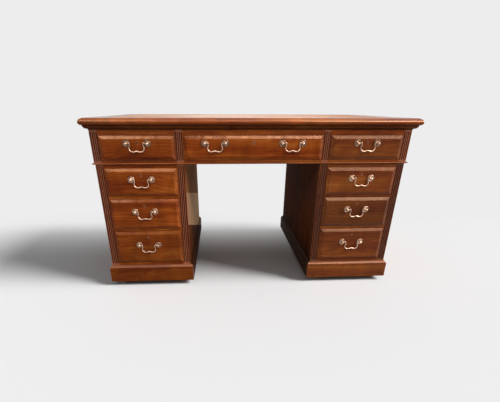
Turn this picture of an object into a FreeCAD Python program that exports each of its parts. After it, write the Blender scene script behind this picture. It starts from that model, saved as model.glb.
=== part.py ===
import FreeCAD, Part
import math
import os

# A pedestal writing desk for two people: nine drawers on one long side, two cupboards on the other.
# Millimetres. X runs along the width, Y from the drawer side to the cupboard side, Z up.
# The origin lies on the floor under the middle of the desk.

V = FreeCAD.Vector

# Widths
kneehole_width = 611.0
pedestal_drawer_width = 318.0
stile_width = 35.0
frieze_overhang = 3.0
top_overhang = 28.0
top_border_width = 95.0

# Depths
pedestal_depth = 738.0
frame_thickness = 22.0
side_thickness = 20.0
pedestal_box_depth = 400.0
frieze_box_depth = 460.0
partition_gap = 15.0

# Heights, from the floor up
floor_gap = 24.5
plinth_height = 73.5
plinth_moulding_height = 13.0
bottom_rail_height = 15.0
lower_drawer_height = 166.0
middle_drawer_height = 145.0
upper_drawer_height = 127.0
drawer_rail_height = 13.0
pedestal_top_rail_height = 17.5
bead_thickness = 6.0
frieze_bottom_rail_height = 11.0
frieze_drawer_height = 103.5
frieze_top_rail_height = 23.0
ovolo_height = 18.5
top_thickness = 27.5

# Mouldings
top_thumb_round = 13.0
top_under_round = 10.0
top_quirk = 1.5
leather_thickness = 2.0
ovolo_radius = 15.5
ovolo_fillet = 1.5
ovolo_seat = 20.0
bead_projection = 7.0
bead_seat = 30.0
plinth_projection = 12.5
plinth_thickness = 18.0
plinth_moulding_projection = 11.0
plinth_moulding_fillet = 2.0
plinth_moulding_top_ledge = 1.0
plinth_moulding_swell = 1.0

# Flutes on the stiles
flutes_per_stile = 4
flute_radius = 2.6
flute_pitch = 8.0
pedestal_flute_margin = 9.0
frieze_flute_margin = 8.0

# Boards and runners inside the carcase
board_thickness = 14.0
partition_thickness = 12.0
frieze_partition_thickness = 20.0
runner_cover = 16.0
guide_height = 18.0
drawer_stop_height = 5.0
drawer_stop_width = 24.0
drawer_stop_inset = 80.0

# Drawers
front_thickness = 14.0
front_edge_proud = 2.0
bevel_width = 14.0
bevel_rise = 7.0
field_step = 1.0
front_clearance = 0.8
box_side_clearance = 0.8
running_clearance = 0.3
box_side_thickness = 9.0
box_bottom_thickness = 6.0
box_bottom_raise = 8.0
box_top_drop = 4.0
box_back_drop = 6.0

# Drawer handles
handle_spread = 90.0
centre_handle_offset = 168.5
pedestal_handle_rise = 15.0
frieze_handle_rise = 20.0
rosette_radius = 15.0
rosette_base = 1.4
rosette_rim_height = 3.2
rosette_rim_width = 3.6
rosette_boss_radius = 8.5
rosette_boss_height = 3.6
post_neck_radius = 4.2
post_head_radius = 6.2
post_shank_radius = 2.4
post_standoff = 11.5
post_nut_radius = 5.5
post_nut_thickness = 3.0
shank_clearance = 0.2
bail_wire_radius = 2.0
bail_grip_radius = 3.0
bail_hump = 5.0
bail_neck_spread = 57.0
bail_neck_rise = 1.25
bail_neck_drop = 8.5
bail_bulge_spread = 66.0
bail_bulge_drop = 20.5
bail_drop = 33.5
bail_shoulder_spread = 53.0
bail_shoulder_lift = 2.0
bail_cup_spread = 30.0
bail_cup_dip = 1.0
bail_grip_lift = 4.0
bail_pivot_clearance = 0.15
bail_corner_share = 0.42

# Locks
keyhole_drop = 27.0
keyhole_radius = 2.2
keyhole_slot_width = 2.6
keyhole_slot_drop = 8.0
escutcheon_margin = 2.2
escutcheon_depth = 2.0
escutcheon_proud = 0.4
lock_width = 56.0
lock_height = 36.0
lock_thickness = 9.0

# Cupboard doors
door_thickness = 20.0
door_stile_width = 48.0
door_panel_edge = 10.0
door_gap = 2.0
door_free_gap = 1.0
hinge_length = 60.0
hinge_inset = 70.0
hinge_leaf_thickness = 0.9
hinge_leaf_depth = 16.0
hinge_knuckle_radius = 3.0
hinge_pin_radius = 1.5
hinge_pin_clearance = 0.05
hinge_knuckle_gap = 0.3
hinge_standoff = 0.5
knob_radius = 9.0
knob_neck_radius = 4.0
knob_base_radius = 10.0
knob_base_thickness = 2.0
knob_length = 20.0

# Castors
castor_inset = 36.0
castor_wheel_radius = 17.0
castor_wheel_width = 13.0
castor_tread_round = 2.0
castor_trail = 10.0
castor_axle_radius = 2.5
castor_axle_clearance = 0.05
castor_cheek_thickness = 2.5
castor_cheek_gap = 0.5
castor_cheek_round = 5.5
castor_wheel_headroom = 2.5
castor_crown_thickness = 4.0
castor_collar_radius = 13.0
castor_collar_thickness = 4.0
castor_stem_radius = 5.0
castor_stem_length = 30.0
castor_stem_clearance = 0.06
castor_thrust_clearance = 0.3
castor_socket_room = 3.0

# Levels that follow from the heights
plinth_bottom_z = floor_gap
pedestal_bottom_z = plinth_bottom_z + plinth_height
face_bottom_z = pedestal_bottom_z + plinth_moulding_height
lower_drawer_z = face_bottom_z + bottom_rail_height
middle_drawer_z = lower_drawer_z + lower_drawer_height + drawer_rail_height
upper_drawer_z = middle_drawer_z + middle_drawer_height + drawer_rail_height
cupboard_top_z = upper_drawer_z + upper_drawer_height
pedestal_top_z = cupboard_top_z + pedestal_top_rail_height
frieze_bottom_z = pedestal_top_z + bead_thickness
frieze_drawer_z = frieze_bottom_z + frieze_bottom_rail_height
frieze_drawer_top_z = frieze_drawer_z + frieze_drawer_height
frieze_top_z = frieze_drawer_top_z + frieze_top_rail_height
top_bottom_z = frieze_top_z + ovolo_height
top_z = top_bottom_z + top_thickness

# Places across the width and the depth that follow from the sizes
pedestal_width = pedestal_drawer_width + 2 * stile_width
pedestal_centre_x = kneehole_width / 2 + pedestal_width / 2
pedestal_half_depth = pedestal_depth / 2
pedestal_frame_y = pedestal_half_depth - frame_thickness
frieze_half_width = kneehole_width / 2 + pedestal_width + frieze_overhang
frieze_half_depth = pedestal_half_depth + frieze_overhang
frieze_frame_y = frieze_half_depth - frame_thickness
divider_x = (kneehole_width / 2, kneehole_width / 2 + stile_width)
frieze_end_x = (frieze_half_width - stile_width, frieze_half_width)
front_proud = front_edge_proud + bevel_rise + field_step
partition_y = pedestal_box_depth + partition_gap - pedestal_half_depth + front_thickness - front_edge_proud

pedestal_drawers = (
    ("upper", upper_drawer_z, upper_drawer_height),
    ("middle", middle_drawer_z, middle_drawer_height),
    ("lower", lower_drawer_z, lower_drawer_height),
)
pedestals = (("left", -1), ("right", 1))
castor_places = tuple((x_name, y_name, x_way, y_way)
                      for y_name, y_way in (("front", -1), ("back", 1))
                      for x_name, x_way in (("outer", 1), ("inner", -1)))


def box(x_span, y_span, z_span):
    """A plank between two places on each axis, given in any order."""
    low = V(min(x_span), min(y_span), min(z_span))
    high = V(max(x_span), max(y_span), max(z_span))
    size = high - low
    return Part.makeBox(size.x, size.y, size.z, low)


def rod(start, end, radius):
    """A round bar between two points."""
    along = end - start
    return Part.makeCylinder(radius, along.Length, start, along)


def one_solid(shape):
    """The single solid of a fused or cut shape, with its split faces joined."""
    return shape.removeSplitter().Solids[0]


def moved(shape, x=0.0, y=0.0, z=0.0):
    """A copy of a shape, shifted."""
    copy = shape.copy()
    copy.translate(V(x, y, z))
    return copy


def arc(start, middle, end):
    """An edge through three points."""
    return Part.Arc(start, middle, end).toShape()


def quarter_arc(centre, start, end):
    """A quarter circle about a centre, from start to end."""
    between = (start - centre) + (end - centre)
    middle = centre + between.normalize() * (start - centre).Length
    return arc(start, middle, end)


def profile_face(edges):
    """A face inside a closed chain of edges."""
    return Part.Face(Part.Wire(edges))


def section_point(out, z):
    """A point of a moulding's section: out from the face of the carcase, and up."""
    return V(0, -out, z)


def mitred_strip(section, half_length, half_across, reach_out, reach_in):
    """One front strip of a moulding, cut at 45 degrees where it meets the strips round the corner."""
    length = 2 * (half_length + reach_out)
    strip = moved(section, -length / 2, -half_across).extrude(V(length, 0, 0))
    height = strip.BoundBox
    outer = half_length + reach_out
    inner = half_length - reach_in
    corners = [
        V(-outer, -half_across - reach_out, height.ZMin),
        V(outer, -half_across - reach_out, height.ZMin),
        V(inner, -half_across + reach_in, height.ZMin),
        V(-inner, -half_across + reach_in, height.ZMin),
    ]
    wedge = Part.Face(Part.makePolygon(corners + corners[:1])).extrude(V(0, 0, height.ZLength))
    return one_solid(strip.common(wedge))


def moulding_round(section, half_x, half_y, reach_out, reach_in):
    """Four mitred strips of one section, round a rectangle."""
    strips = []
    for turn in range(4):
        sides = (half_x, half_y) if turn % 2 == 0 else (half_y, half_x)
        strip = mitred_strip(section, sides[0], sides[1], reach_out, reach_in)
        strip.rotate(V(0, 0, 0), V(0, 0, 1), 90 * turn)
        strips.append(strip)
    return strips


def top_border():
    """The moulded border boards of the top: a thumb edge under a small quirk, rounded below."""
    inner = top_overhang - top_border_width
    tip = section_point(top_overhang, top_bottom_z + top_under_round)
    under_end = section_point(top_overhang - top_under_round, top_bottom_z)
    under_centre = section_point(top_overhang - top_under_round, top_bottom_z + top_under_round)
    shoulder_z = top_z - top_quirk
    thumb_rise = shoulder_z - tip.z
    thumb_end = section_point(top_overhang - top_thumb_round, shoulder_z)
    thumb_middle = section_point(top_overhang - top_thumb_round * (1 - math.sqrt(0.5)),
                                 tip.z + thumb_rise * math.sqrt(0.5))
    quirk_top = section_point(top_overhang - top_thumb_round, top_z)
    inner_top = section_point(inner, top_z)
    inner_bottom = section_point(inner, top_bottom_z)
    section = profile_face([
        Part.makeLine(inner_bottom, under_end),
        quarter_arc(under_centre, under_end, tip),
        arc(tip, thumb_middle, thumb_end),
        Part.makeLine(thumb_end, quirk_top),
        Part.makeLine(quirk_top, inner_top),
        Part.makeLine(inner_top, inner_bottom),
    ])
    return moulding_round(section, frieze_half_width, frieze_half_depth, top_overhang, -inner)


def top_inset():
    """Half width and half depth of the panel inside the border."""
    inset = top_border_width - top_overhang
    return frieze_half_width - inset, frieze_half_depth - inset


def ground_panel():
    """The plain board under the leather."""
    half_x, half_y = top_inset()
    return box((-half_x, half_x), (-half_y, half_y), (top_bottom_z, top_z - leather_thickness))


def writing_leather():
    """The leather skiver let in flush with the border."""
    half_x, half_y = top_inset()
    return box((-half_x, half_x), (-half_y, half_y), (top_z - leather_thickness, top_z))


def top_ovolo():
    """The quarter round moulding between the frieze and the top, over a small fillet."""
    fillet_top_z = top_bottom_z - ovolo_radius
    outer = ovolo_fillet + ovolo_radius
    centre = section_point(ovolo_fillet, top_bottom_z)
    points = [
        section_point(outer, top_bottom_z),
        section_point(-ovolo_seat, top_bottom_z),
        section_point(-ovolo_seat, frieze_top_z),
        section_point(ovolo_fillet, frieze_top_z),
        section_point(ovolo_fillet, fillet_top_z),
    ]
    edges = [Part.makeLine(a, b) for a, b in zip(points, points[1:])]
    edges.append(quarter_arc(centre, points[-1], points[0]))
    section = profile_face(edges)
    return moulding_round(section, frieze_half_width, frieze_half_depth, outer, ovolo_seat)


def frieze_bead():
    """The rounded strip under the frieze, which sits on the pedestals."""
    nose = bead_thickness / 2
    nose_centre = section_point(bead_projection - nose, pedestal_top_z + nose)
    low = section_point(bead_projection - nose, pedestal_top_z)
    tip = section_point(bead_projection, pedestal_top_z + nose)
    high = section_point(bead_projection - nose, frieze_bottom_z)
    inner_high = section_point(-bead_seat, frieze_bottom_z)
    inner_low = section_point(-bead_seat, pedestal_top_z)
    section = profile_face([
        quarter_arc(nose_centre, low, tip),
        quarter_arc(nose_centre, tip, high),
        Part.makeLine(high, inner_high),
        Part.makeLine(inner_high, inner_low),
        Part.makeLine(inner_low, low),
    ])
    return moulding_round(section, frieze_half_width, frieze_half_depth, bead_projection, bead_seat)


def flute(x, face_y, outward, low_z, high_z):
    """A round groove with round ends, as a cutter centred on the face."""
    r = flute_radius
    reach = r * math.sqrt(0.5)
    low_rim = V(x, face_y + outward * r, low_z + r)
    high_rim = V(x, face_y + outward * r, high_z - r)
    low_pole = V(x, face_y, low_z)
    high_pole = V(x, face_y, high_z)
    half = profile_face([
        arc(low_pole, V(x, face_y + outward * reach, low_z + r - reach), low_rim),
        Part.makeLine(low_rim, high_rim),
        arc(high_rim, V(x, face_y + outward * reach, high_z - r + reach), high_pole),
        Part.makeLine(high_pole, low_pole),
    ])
    return half.revolve(low_pole, V(0, 0, 1), 360)


def fluted_stile(x_span, outer_y, outward, z_span, flute_z):
    """An upright of the face frame with a row of flutes down its face, between two heights."""
    stile = box(x_span, (outer_y, outer_y - outward * frame_thickness), z_span)
    middle = sum(x_span) / 2
    cutters = []
    for i in range(flutes_per_stile):
        x = middle + (i - (flutes_per_stile - 1) / 2) * flute_pitch
        cutters.append(flute(x, outer_y, outward, *flute_z))
    return one_solid(stile.cut(cutters))


def fielded_front(x_span, z_span, face_y, outward, thickness):
    """A board whose four edges are bevelled up to a raised flat field."""
    edge_y = face_y + outward * front_edge_proud
    bevel_y = edge_y + outward * bevel_rise
    field_y = bevel_y + outward * field_step
    field_x = (min(x_span) + bevel_width, max(x_span) - bevel_width)
    field_z = (min(z_span) + bevel_width, max(z_span) - bevel_width)

    def outline(xs, zs, y):
        corners = [V(xs[0], y, zs[0]), V(xs[1], y, zs[0]), V(xs[1], y, zs[1]), V(xs[0], y, zs[1])]
        return Part.makePolygon(corners + corners[:1])

    slab = box(x_span, (edge_y, edge_y - outward * thickness), z_span)
    bevel = Part.makeLoft([outline(x_span, z_span, edge_y), outline(field_x, field_z, bevel_y)], True, True)
    field = box(field_x, (bevel_y, field_y), field_z)
    return one_solid(slab.fuse([bevel, field]))


def frieze_openings():
    """Name, span across the width and handle places of each drawer in the frieze."""
    inner, outer = divider_x[1], frieze_end_x[0]
    middle = (inner + outer) / 2
    return (
        ("left", (-outer, -inner), (-middle,)),
        ("centre", (-divider_x[0], divider_x[0]), (-centre_handle_offset, centre_handle_offset)),
        ("right", (inner, outer), (middle,)),
    )


def frieze_frame():
    """Fluted stiles, rails, end boards, and the fixed raised fronts of the cupboard side."""
    pieces = []
    full_height = (frieze_bottom_z, frieze_top_z)
    flute_z = (frieze_bottom_z + frieze_flute_margin, frieze_top_z - frieze_flute_margin)
    for outward in (-1, 1):
        face_y = outward * frieze_half_depth
        back_y = outward * frieze_frame_y
        for side in (-1, 1):
            for x_span in (divider_x, frieze_end_x):
                stile_x = [side * x for x in x_span]
                pieces.append(fluted_stile(stile_x, face_y, outward, full_height, flute_z))
        for _, x_span, _ in frieze_openings():
            pieces.append(box(x_span, (face_y, back_y), (frieze_bottom_z, frieze_drawer_z)))
            pieces.append(box(x_span, (face_y, back_y), (frieze_drawer_top_z, frieze_top_z)))
    for _, x_span, _ in frieze_openings():
        z_span = (frieze_drawer_z, frieze_drawer_top_z)
        pieces.append(fielded_front(x_span, z_span, frieze_half_depth, 1, front_thickness))
    for side in (-1, 1):
        end_x = (side * frieze_half_width, side * (frieze_half_width - side_thickness))
        pieces.append(box(end_x, (-frieze_frame_y, frieze_frame_y), full_height))
    return pieces


def pedestal_frame(centre_x):
    """Stiles and rails of one pedestal, fluted and open for drawers in front, open for a door behind."""
    half = pedestal_width / 2
    opening = (centre_x - half + stile_width, centre_x + half - stile_width)
    full_height = (pedestal_bottom_z, pedestal_top_z)
    flute_z = (face_bottom_z + pedestal_flute_margin, pedestal_top_z - pedestal_flute_margin)
    pieces = []
    for outward in (-1, 1):
        face_y = outward * pedestal_half_depth
        depth = (face_y, outward * pedestal_frame_y)
        for side in (-1, 1):
            edge = centre_x + side * half
            stile_x = (edge, edge - side * stile_width)
            pieces.append(fluted_stile(stile_x, face_y, outward, full_height, flute_z))
        pieces.append(box(opening, depth, (pedestal_bottom_z, lower_drawer_z)))
        pieces.append(box(opening, depth, (cupboard_top_z, pedestal_top_z)))
    front_depth = (-pedestal_half_depth, -pedestal_frame_y)
    for above_z in (middle_drawer_z, upper_drawer_z):
        pieces.append(box(opening, front_depth, (above_z - drawer_rail_height, above_z)))
    return pieces


def pedestal_sides():
    """The plain outer and inner side boards of both pedestals."""
    pieces = []
    half = pedestal_width / 2
    for _, side in pedestals:
        for edge_side in (-1, 1):
            edge = side * pedestal_centre_x + edge_side * half
            x_span = (edge, edge - edge_side * side_thickness)
            y_span = (-pedestal_frame_y, pedestal_frame_y)
            pieces.append(box(x_span, y_span, (pedestal_bottom_z, pedestal_top_z)))
    return pieces


def runner_pair(x_span, wall_x, y_span, runner_z):
    """Runners that carry a drawer's sides, and the guides that keep it straight."""
    pieces = []
    for edge, wall, inward in zip(x_span, wall_x, (1, -1)):
        pieces.append(box((wall, edge + inward * runner_cover), y_span, runner_z))
        pieces.append(box((wall, edge), y_span, (runner_z[1], runner_z[1] + guide_height)))
    return pieces


def kicker_pair(x_span, wall_x, y_span):
    """Strips over a drawer's sides, which keep it level when it is pulled out."""
    pieces = []
    for edge, wall, inward in zip(x_span, wall_x, (1, -1)):
        pieces.append(box((wall, edge + inward * runner_cover), y_span, (frieze_drawer_top_z, frieze_top_z)))
    return pieces


def drawer_stops(x_span, rail_y, rail_top_z):
    """Two small blocks on the rail, which meet the back of the drawer front."""
    front_back_y = rail_y[0] - front_edge_proud + front_thickness + running_clearance
    pieces = []
    for centre in (x_span[0] + drawer_stop_inset, x_span[1] - drawer_stop_inset):
        stop_x = (centre - drawer_stop_width / 2, centre + drawer_stop_width / 2)
        pieces.append(box(stop_x, (front_back_y, rail_y[1]), (rail_top_z, rail_top_z + drawer_stop_height)))
    return pieces


def pedestal_inside(centre_x):
    """Top and bottom boards, the partition between drawers and cupboard, runners, guides and stops."""
    half_inside = pedestal_width / 2 - side_thickness
    wall_x = (centre_x - half_inside, centre_x + half_inside)
    opening = (centre_x - pedestal_drawer_width / 2, centre_x + pedestal_drawer_width / 2)
    full_depth = (-pedestal_frame_y, pedestal_frame_y)
    bottom_top_z = pedestal_bottom_z + board_thickness
    top_under_z = pedestal_top_z - board_thickness
    pieces = [
        box(wall_x, full_depth, (pedestal_bottom_z, bottom_top_z)),
        box(wall_x, full_depth, (top_under_z, pedestal_top_z)),
        box(wall_x, (partition_y, partition_y + partition_thickness), (bottom_top_z, top_under_z)),
    ]
    runner_y = (-pedestal_frame_y, partition_y)
    rail_y = (-pedestal_half_depth, -pedestal_frame_y)
    for name, z, _ in pedestal_drawers:
        under_z = bottom_top_z if name == "lower" else z - drawer_rail_height
        pieces += runner_pair(opening, wall_x, runner_y, (under_z, z))
        pieces += drawer_stops(opening, rail_y, z)
    return pieces


def frieze_inside():
    """Partitions, runners, guides, kickers and stops of the three upper drawers."""
    half = frieze_partition_thickness / 2
    middle = sum(divider_x) / 2
    depth = (-frieze_frame_y, frieze_frame_y)
    rail_y = (-frieze_half_depth, -frieze_frame_y)
    end_wall = frieze_half_width - side_thickness
    walls = {
        "left": (-end_wall, -middle - half),
        "centre": (-middle + half, middle - half),
        "right": (middle + half, end_wall),
    }
    pieces = []
    for side in (-1, 1):
        x_span = (side * middle - half, side * middle + half)
        pieces.append(box(x_span, depth, (frieze_bottom_z, top_bottom_z)))
    for name, x_span, _ in frieze_openings():
        runner_z = (frieze_bottom_z, frieze_drawer_z)
        pieces += runner_pair(x_span, walls[name], depth, runner_z)
        pieces += kicker_pair(x_span, walls[name], depth)
        pieces += drawer_stops(x_span, rail_y, frieze_drawer_z)
    return pieces


def inner_framing():
    """All the plain timber inside the desk."""
    pieces = [ground_panel()] + frieze_inside()
    for _, side in pedestals:
        pieces += pedestal_inside(side * pedestal_centre_x)
    return pieces


def castor_point(side, x_way, y_way):
    """Where a castor's swivel stands under its pedestal."""
    x = side * (pedestal_centre_x + x_way * (pedestal_width / 2 - castor_inset))
    y = y_way * (pedestal_half_depth - castor_inset)
    return x, y


def castor_axle_y(y):
    """Where a castor's wheel turns: it trails away from the middle of the desk."""
    return y + math.copysign(castor_trail, y)


def castor_block_z():
    """Underside of the blocks that the castors turn under."""
    crown_top = 2 * castor_wheel_radius + castor_wheel_headroom + castor_crown_thickness
    return crown_top + castor_collar_thickness + castor_thrust_clearance


def plinth(side):
    """Plinth boards, base moulding and castor blocks of one pedestal."""
    half_x = pedestal_width / 2
    inner_reach = plinth_thickness - plinth_projection
    corners = [
        section_point(plinth_projection, plinth_bottom_z),
        section_point(plinth_projection, pedestal_bottom_z),
        section_point(-inner_reach, pedestal_bottom_z),
        section_point(-inner_reach, plinth_bottom_z),
    ]
    board = Part.Face(Part.makePolygon(corners + corners[:1]))
    pieces = moulding_round(board, half_x, pedestal_half_depth, plinth_projection, inner_reach)
    pieces += moulding_round(plinth_moulding(), half_x, pedestal_half_depth, plinth_moulding_projection, 0)
    pieces = [moved(piece, side * pedestal_centre_x) for piece in pieces]
    reach = castor_inset - inner_reach
    under_z = castor_block_z()
    socket_top = under_z + castor_stem_length + castor_socket_room
    bore = castor_stem_radius + castor_stem_clearance
    for _, _, x_way, y_way in castor_places:
        x, y = castor_point(side, x_way, y_way)
        block = box((x - reach, x + reach), (y - reach, y + reach), (under_z, pedestal_bottom_z))
        socket = rod(V(x, y, under_z), V(x, y, socket_top), bore)
        pieces.append(one_solid(block.cut(socket)))
    return pieces


def plinth_moulding():
    """Section of the base moulding: a fillet under a wide, slightly swelled slope."""
    low_out = section_point(plinth_moulding_projection, pedestal_bottom_z)
    slope_start = section_point(plinth_moulding_projection, pedestal_bottom_z + plinth_moulding_fillet)
    slope_end = section_point(plinth_moulding_top_ledge, face_bottom_z)
    slope = slope_end - slope_start
    outward = V(0, -slope.z, slope.y).normalize() * plinth_moulding_swell
    slope_middle = (slope_start + slope_end) * 0.5 + outward
    high_in = section_point(0, face_bottom_z)
    low_in = section_point(0, pedestal_bottom_z)
    return profile_face([
        Part.makeLine(low_out, slope_start),
        Part.Arc(slope_start, slope_middle, slope_end).toShape(),
        Part.makeLine(slope_end, high_in),
        Part.makeLine(high_in, low_in),
        Part.makeLine(low_in, low_out),
    ])


def keyhole(x, z, margin, y_span):
    """A keyhole shape, widened all round by a margin, through a span of depth."""
    y0, y1 = y_span
    barrel = rod(V(x, y0, z), V(x, y1, z), keyhole_radius + margin)
    half_slot = keyhole_slot_width / 2 + margin
    slot = box((x - half_slot, x + half_slot), (y0, y1), (z, z - keyhole_slot_drop - margin))
    return one_solid(barrel.fuse(slot))


def drawer(x_span, z, height, face_y, box_depth, handle_xs, handle_z):
    """A drawer: raised front, two sides, back and bottom. The front is bored for posts and key."""
    front_x = (x_span[0] + front_clearance, x_span[1] - front_clearance)
    front_z = (z + front_clearance, z + height - front_clearance)
    back_y = face_y - front_edge_proud + front_thickness
    field_y = face_y - front_proud
    front = fielded_front(front_x, front_z, face_y, -1, front_thickness)
    key_x = sum(x_span) / 2
    key_z = z + height - keyhole_drop
    cutters = [
        keyhole(key_x, key_z, escutcheon_margin, (field_y - escutcheon_proud, field_y + escutcheon_depth)),
        keyhole(key_x, key_z, 0, (field_y, back_y)),
    ]
    for handle_x in handle_xs:
        for side in (-1, 1):
            post_x = handle_x + side * handle_spread / 2
            bore = post_shank_radius + shank_clearance
            cutters.append(rod(V(post_x, field_y, handle_z), V(post_x, back_y, handle_z), bore))
    front = one_solid(front.cut(cutters))

    end_y = back_y + box_depth
    low_z = z + running_clearance
    high_z = z + height - box_top_drop
    outer_x = (x_span[0] + box_side_clearance, x_span[1] - box_side_clearance)
    inner_x = (outer_x[0] + box_side_thickness, outer_x[1] - box_side_thickness)
    bottom_z = (low_z + box_bottom_raise, low_z + box_bottom_raise + box_bottom_thickness)
    sides = [box((outer_x[i], inner_x[i]), (back_y, end_y), (low_z, high_z)) for i in (0, 1)]
    bottom = box(inner_x, (back_y, end_y), bottom_z)
    back = box(inner_x, (end_y - box_side_thickness, end_y), (bottom_z[1], high_z - box_back_drop))
    return [front] + sides + [bottom, back]


def rosette(x, face_y, z):
    """A turned backplate: a rolled rim round a shallow dish, with a boss for the post."""
    bore = post_neck_radius + shank_clearance

    def at(radius, out):
        return V(x + radius, face_y - out, z)

    rim_inner = rosette_radius - rosette_rim_width
    edges = [
        Part.makeLine(at(bore, 0), at(rosette_radius, 0)),
        Part.makeLine(at(rosette_radius, 0), at(rosette_radius, rosette_base)),
        arc(at(rosette_radius, rosette_base), at(rosette_radius - rosette_rim_width / 2, rosette_rim_height),
            at(rim_inner, rosette_base)),
        Part.makeLine(at(rim_inner, rosette_base), at(rosette_boss_radius, rosette_base)),
        Part.makeLine(at(rosette_boss_radius, rosette_base), at(bore, rosette_boss_height)),
        Part.makeLine(at(bore, rosette_boss_height), at(bore, 0)),
    ]
    return profile_face(edges).revolve(V(x, face_y, z), V(0, 1, 0), 360)


def handle_post(x, inward, face_y, back_y, z):
    """A post through the front, with a round head bored for one end of the bail."""
    pivot = V(x, face_y - post_standoff, z)
    head = Part.makeSphere(post_head_radius, pivot)
    neck = rod(V(x, face_y, z), pivot, post_neck_radius)
    shank = rod(pivot, V(x, back_y + 2 * post_nut_thickness, z), post_shank_radius)
    post = one_solid(head.fuse([neck, shank]))
    past_head = pivot + V(inward * 2 * post_head_radius, 0, 0)
    return one_solid(post.cut(rod(pivot, past_head, bail_wire_radius + bail_pivot_clearance)))


def post_nut(x, back_y, z):
    """A round nut on the inside of the drawer front."""
    start = V(x, back_y, z)
    end = V(x, back_y + post_nut_thickness, z)
    bore = rod(start, end, post_shank_radius + shank_clearance)
    return one_solid(rod(start, end, post_nut_radius).cut(bore))


def drawer_fittings(x_span, z, height, face_y, handle_xs, handle_z):
    """Rosettes, posts and nuts of the handles, the keyhole plate and the lock case."""
    field_y = face_y - front_proud
    back_y = face_y - front_edge_proud + front_thickness
    pieces = []
    for handle_x in handle_xs:
        for side in (-1, 1):
            x = handle_x + side * handle_spread / 2
            pieces.append(rosette(x, field_y, handle_z))
            pieces.append(handle_post(x, -side, field_y, back_y, handle_z))
            pieces.append(post_nut(x, back_y, handle_z))
    key_x = sum(x_span) / 2
    key_z = z + height - keyhole_drop
    plate_y = (field_y - escutcheon_proud, field_y + escutcheon_depth)
    plate = keyhole(key_x, key_z, escutcheon_margin, plate_y)
    pieces.append(one_solid(plate.cut(keyhole(key_x, key_z, 0, plate_y))))
    lock_x = (key_x - lock_width / 2, key_x + lock_width / 2)
    lock_top = z + height - box_top_drop
    pieces.append(box(lock_x, (back_y, back_y + lock_thickness), (lock_top - lock_height, lock_top)))
    return pieces


def rounded_path(points, share):
    """Straight runs with each corner rounded by a tangent arc."""
    edges = []
    start = points[0]
    for before, corner, after in zip(points, points[1:], points[2:]):
        into = (corner - before).normalize()
        out = (after - corner).normalize()
        tangent = share * min((corner - before).Length, (after - corner).Length)
        half_turn = into.getAngle(out) / 2
        radius = tangent / math.tan(half_turn)
        bisector = (out - into).normalize()
        arc_end = corner + out * tangent
        edges.append(Part.makeLine(start, corner - into * tangent))
        edges.append(arc(corner - into * tangent,
                         corner + bisector * (radius / math.cos(half_turn) - radius), arc_end))
        start = arc_end
    edges.append(Part.makeLine(start, points[-1]))
    return Part.Wire(edges)


def ring_across(edge, radius):
    """A circle across the start of an edge that lies in an upright plane along the width."""
    at = edge.valueAt(edge.FirstParameter)
    along = edge.tangentAt(edge.FirstParameter)
    circle = Part.makeCircle(radius, V(0, 0, 0), V(1, 0, 0))
    circle.rotate(V(0, 0, 0), V(0, 1, 0), math.degrees(math.atan2(-along.z, along.x)))
    circle.translate(at)
    return Part.Wire([circle])


def bail():
    """A swan neck bail about its own pivot line: thin necks, a bulge each side and a thicker grip."""
    pivot_x = handle_spread / 2
    neck_x = bail_neck_spread / 2
    leave_x = pivot_x - post_head_radius - bail_wire_radius
    bulge = (bail_bulge_spread / 2, -bail_bulge_drop)
    half = [
        (pivot_x - bail_wire_radius, 0),
        (leave_x, 0),
        ((leave_x + neck_x) / 2, bail_hump),
        (neck_x, bail_neck_rise),
        (neck_x, -bail_neck_drop),
        bulge,
        (bail_shoulder_spread / 2, -bail_drop + bail_shoulder_lift),
        (bail_cup_spread / 2, -bail_drop - bail_cup_dip),
        (0, -bail_drop + bail_grip_lift),
    ]
    points = [V(-x, 0, z) for x, z in half] + [V(x, 0, z) for x, z in reversed(half[:-1])]
    edges = rounded_path(points, bail_corner_share).OrderedEdges
    last = edges[-1]
    end = Part.makeLine(last.valueAt(last.LastParameter), last.valueAt(last.LastParameter) + V(1, 0, 0))
    bulge_arc = 2 * half.index(bulge) - 1
    grip_arc = len(edges) // 2
    shell = Part.BRepOffsetAPI.MakePipeShell(Part.Wire(edges))
    for edge in (edges[0], edges[bulge_arc]):
        shell.add(ring_across(edge, bail_wire_radius), False, False)
    for edge in (edges[grip_arc], edges[grip_arc + 1]):
        shell.add(ring_across(edge, bail_grip_radius), False, False)
    for edge in (edges[-bulge_arc], end):
        shell.add(ring_across(edge, bail_wire_radius), False, False)
    shell.build()
    shell.makeSolid()
    return shell.shape()


def door_spans(side):
    """Across the width from hinge edge to free edge, and up, of one cupboard door."""
    hinge_edge = side * (pedestal_centre_x + pedestal_drawer_width / 2 - door_gap)
    free_edge = side * (pedestal_centre_x - pedestal_drawer_width / 2 + door_free_gap)
    return (hinge_edge, free_edge), (lower_drawer_z + door_free_gap, cupboard_top_z - door_free_gap)


def door(side):
    """A framed door: two stiles, two rails and a raised panel."""
    x_span, z_span = door_spans(side)
    x0, x1 = min(x_span), max(x_span)
    z0, z1 = z_span
    face_y = pedestal_half_depth
    depth = (face_y, face_y - door_thickness)
    w = door_stile_width
    pieces = [
        box((x0, x0 + w), depth, z_span),
        box((x1 - w, x1), depth, z_span),
        box((x0 + w, x1 - w), depth, (z0, z0 + w)),
        box((x0 + w, x1 - w), depth, (z1 - w, z1)),
    ]
    panel_y = face_y - front_proud
    pieces.append(fielded_front((x0 + w, x1 - w), (z0 + w, z1 - w), panel_y, 1, door_panel_edge))
    return pieces


def hinge_places():
    """Middle height of each hinge on a door."""
    low = lower_drawer_z + hinge_inset
    high = cupboard_top_z - hinge_inset
    return low, high


def hinge_axis(side):
    """Where a door's hinge pins stand."""
    x = side * (pedestal_centre_x + pedestal_drawer_width / 2 - door_gap / 2)
    return x, pedestal_half_depth + hinge_knuckle_radius + hinge_standoff


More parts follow.
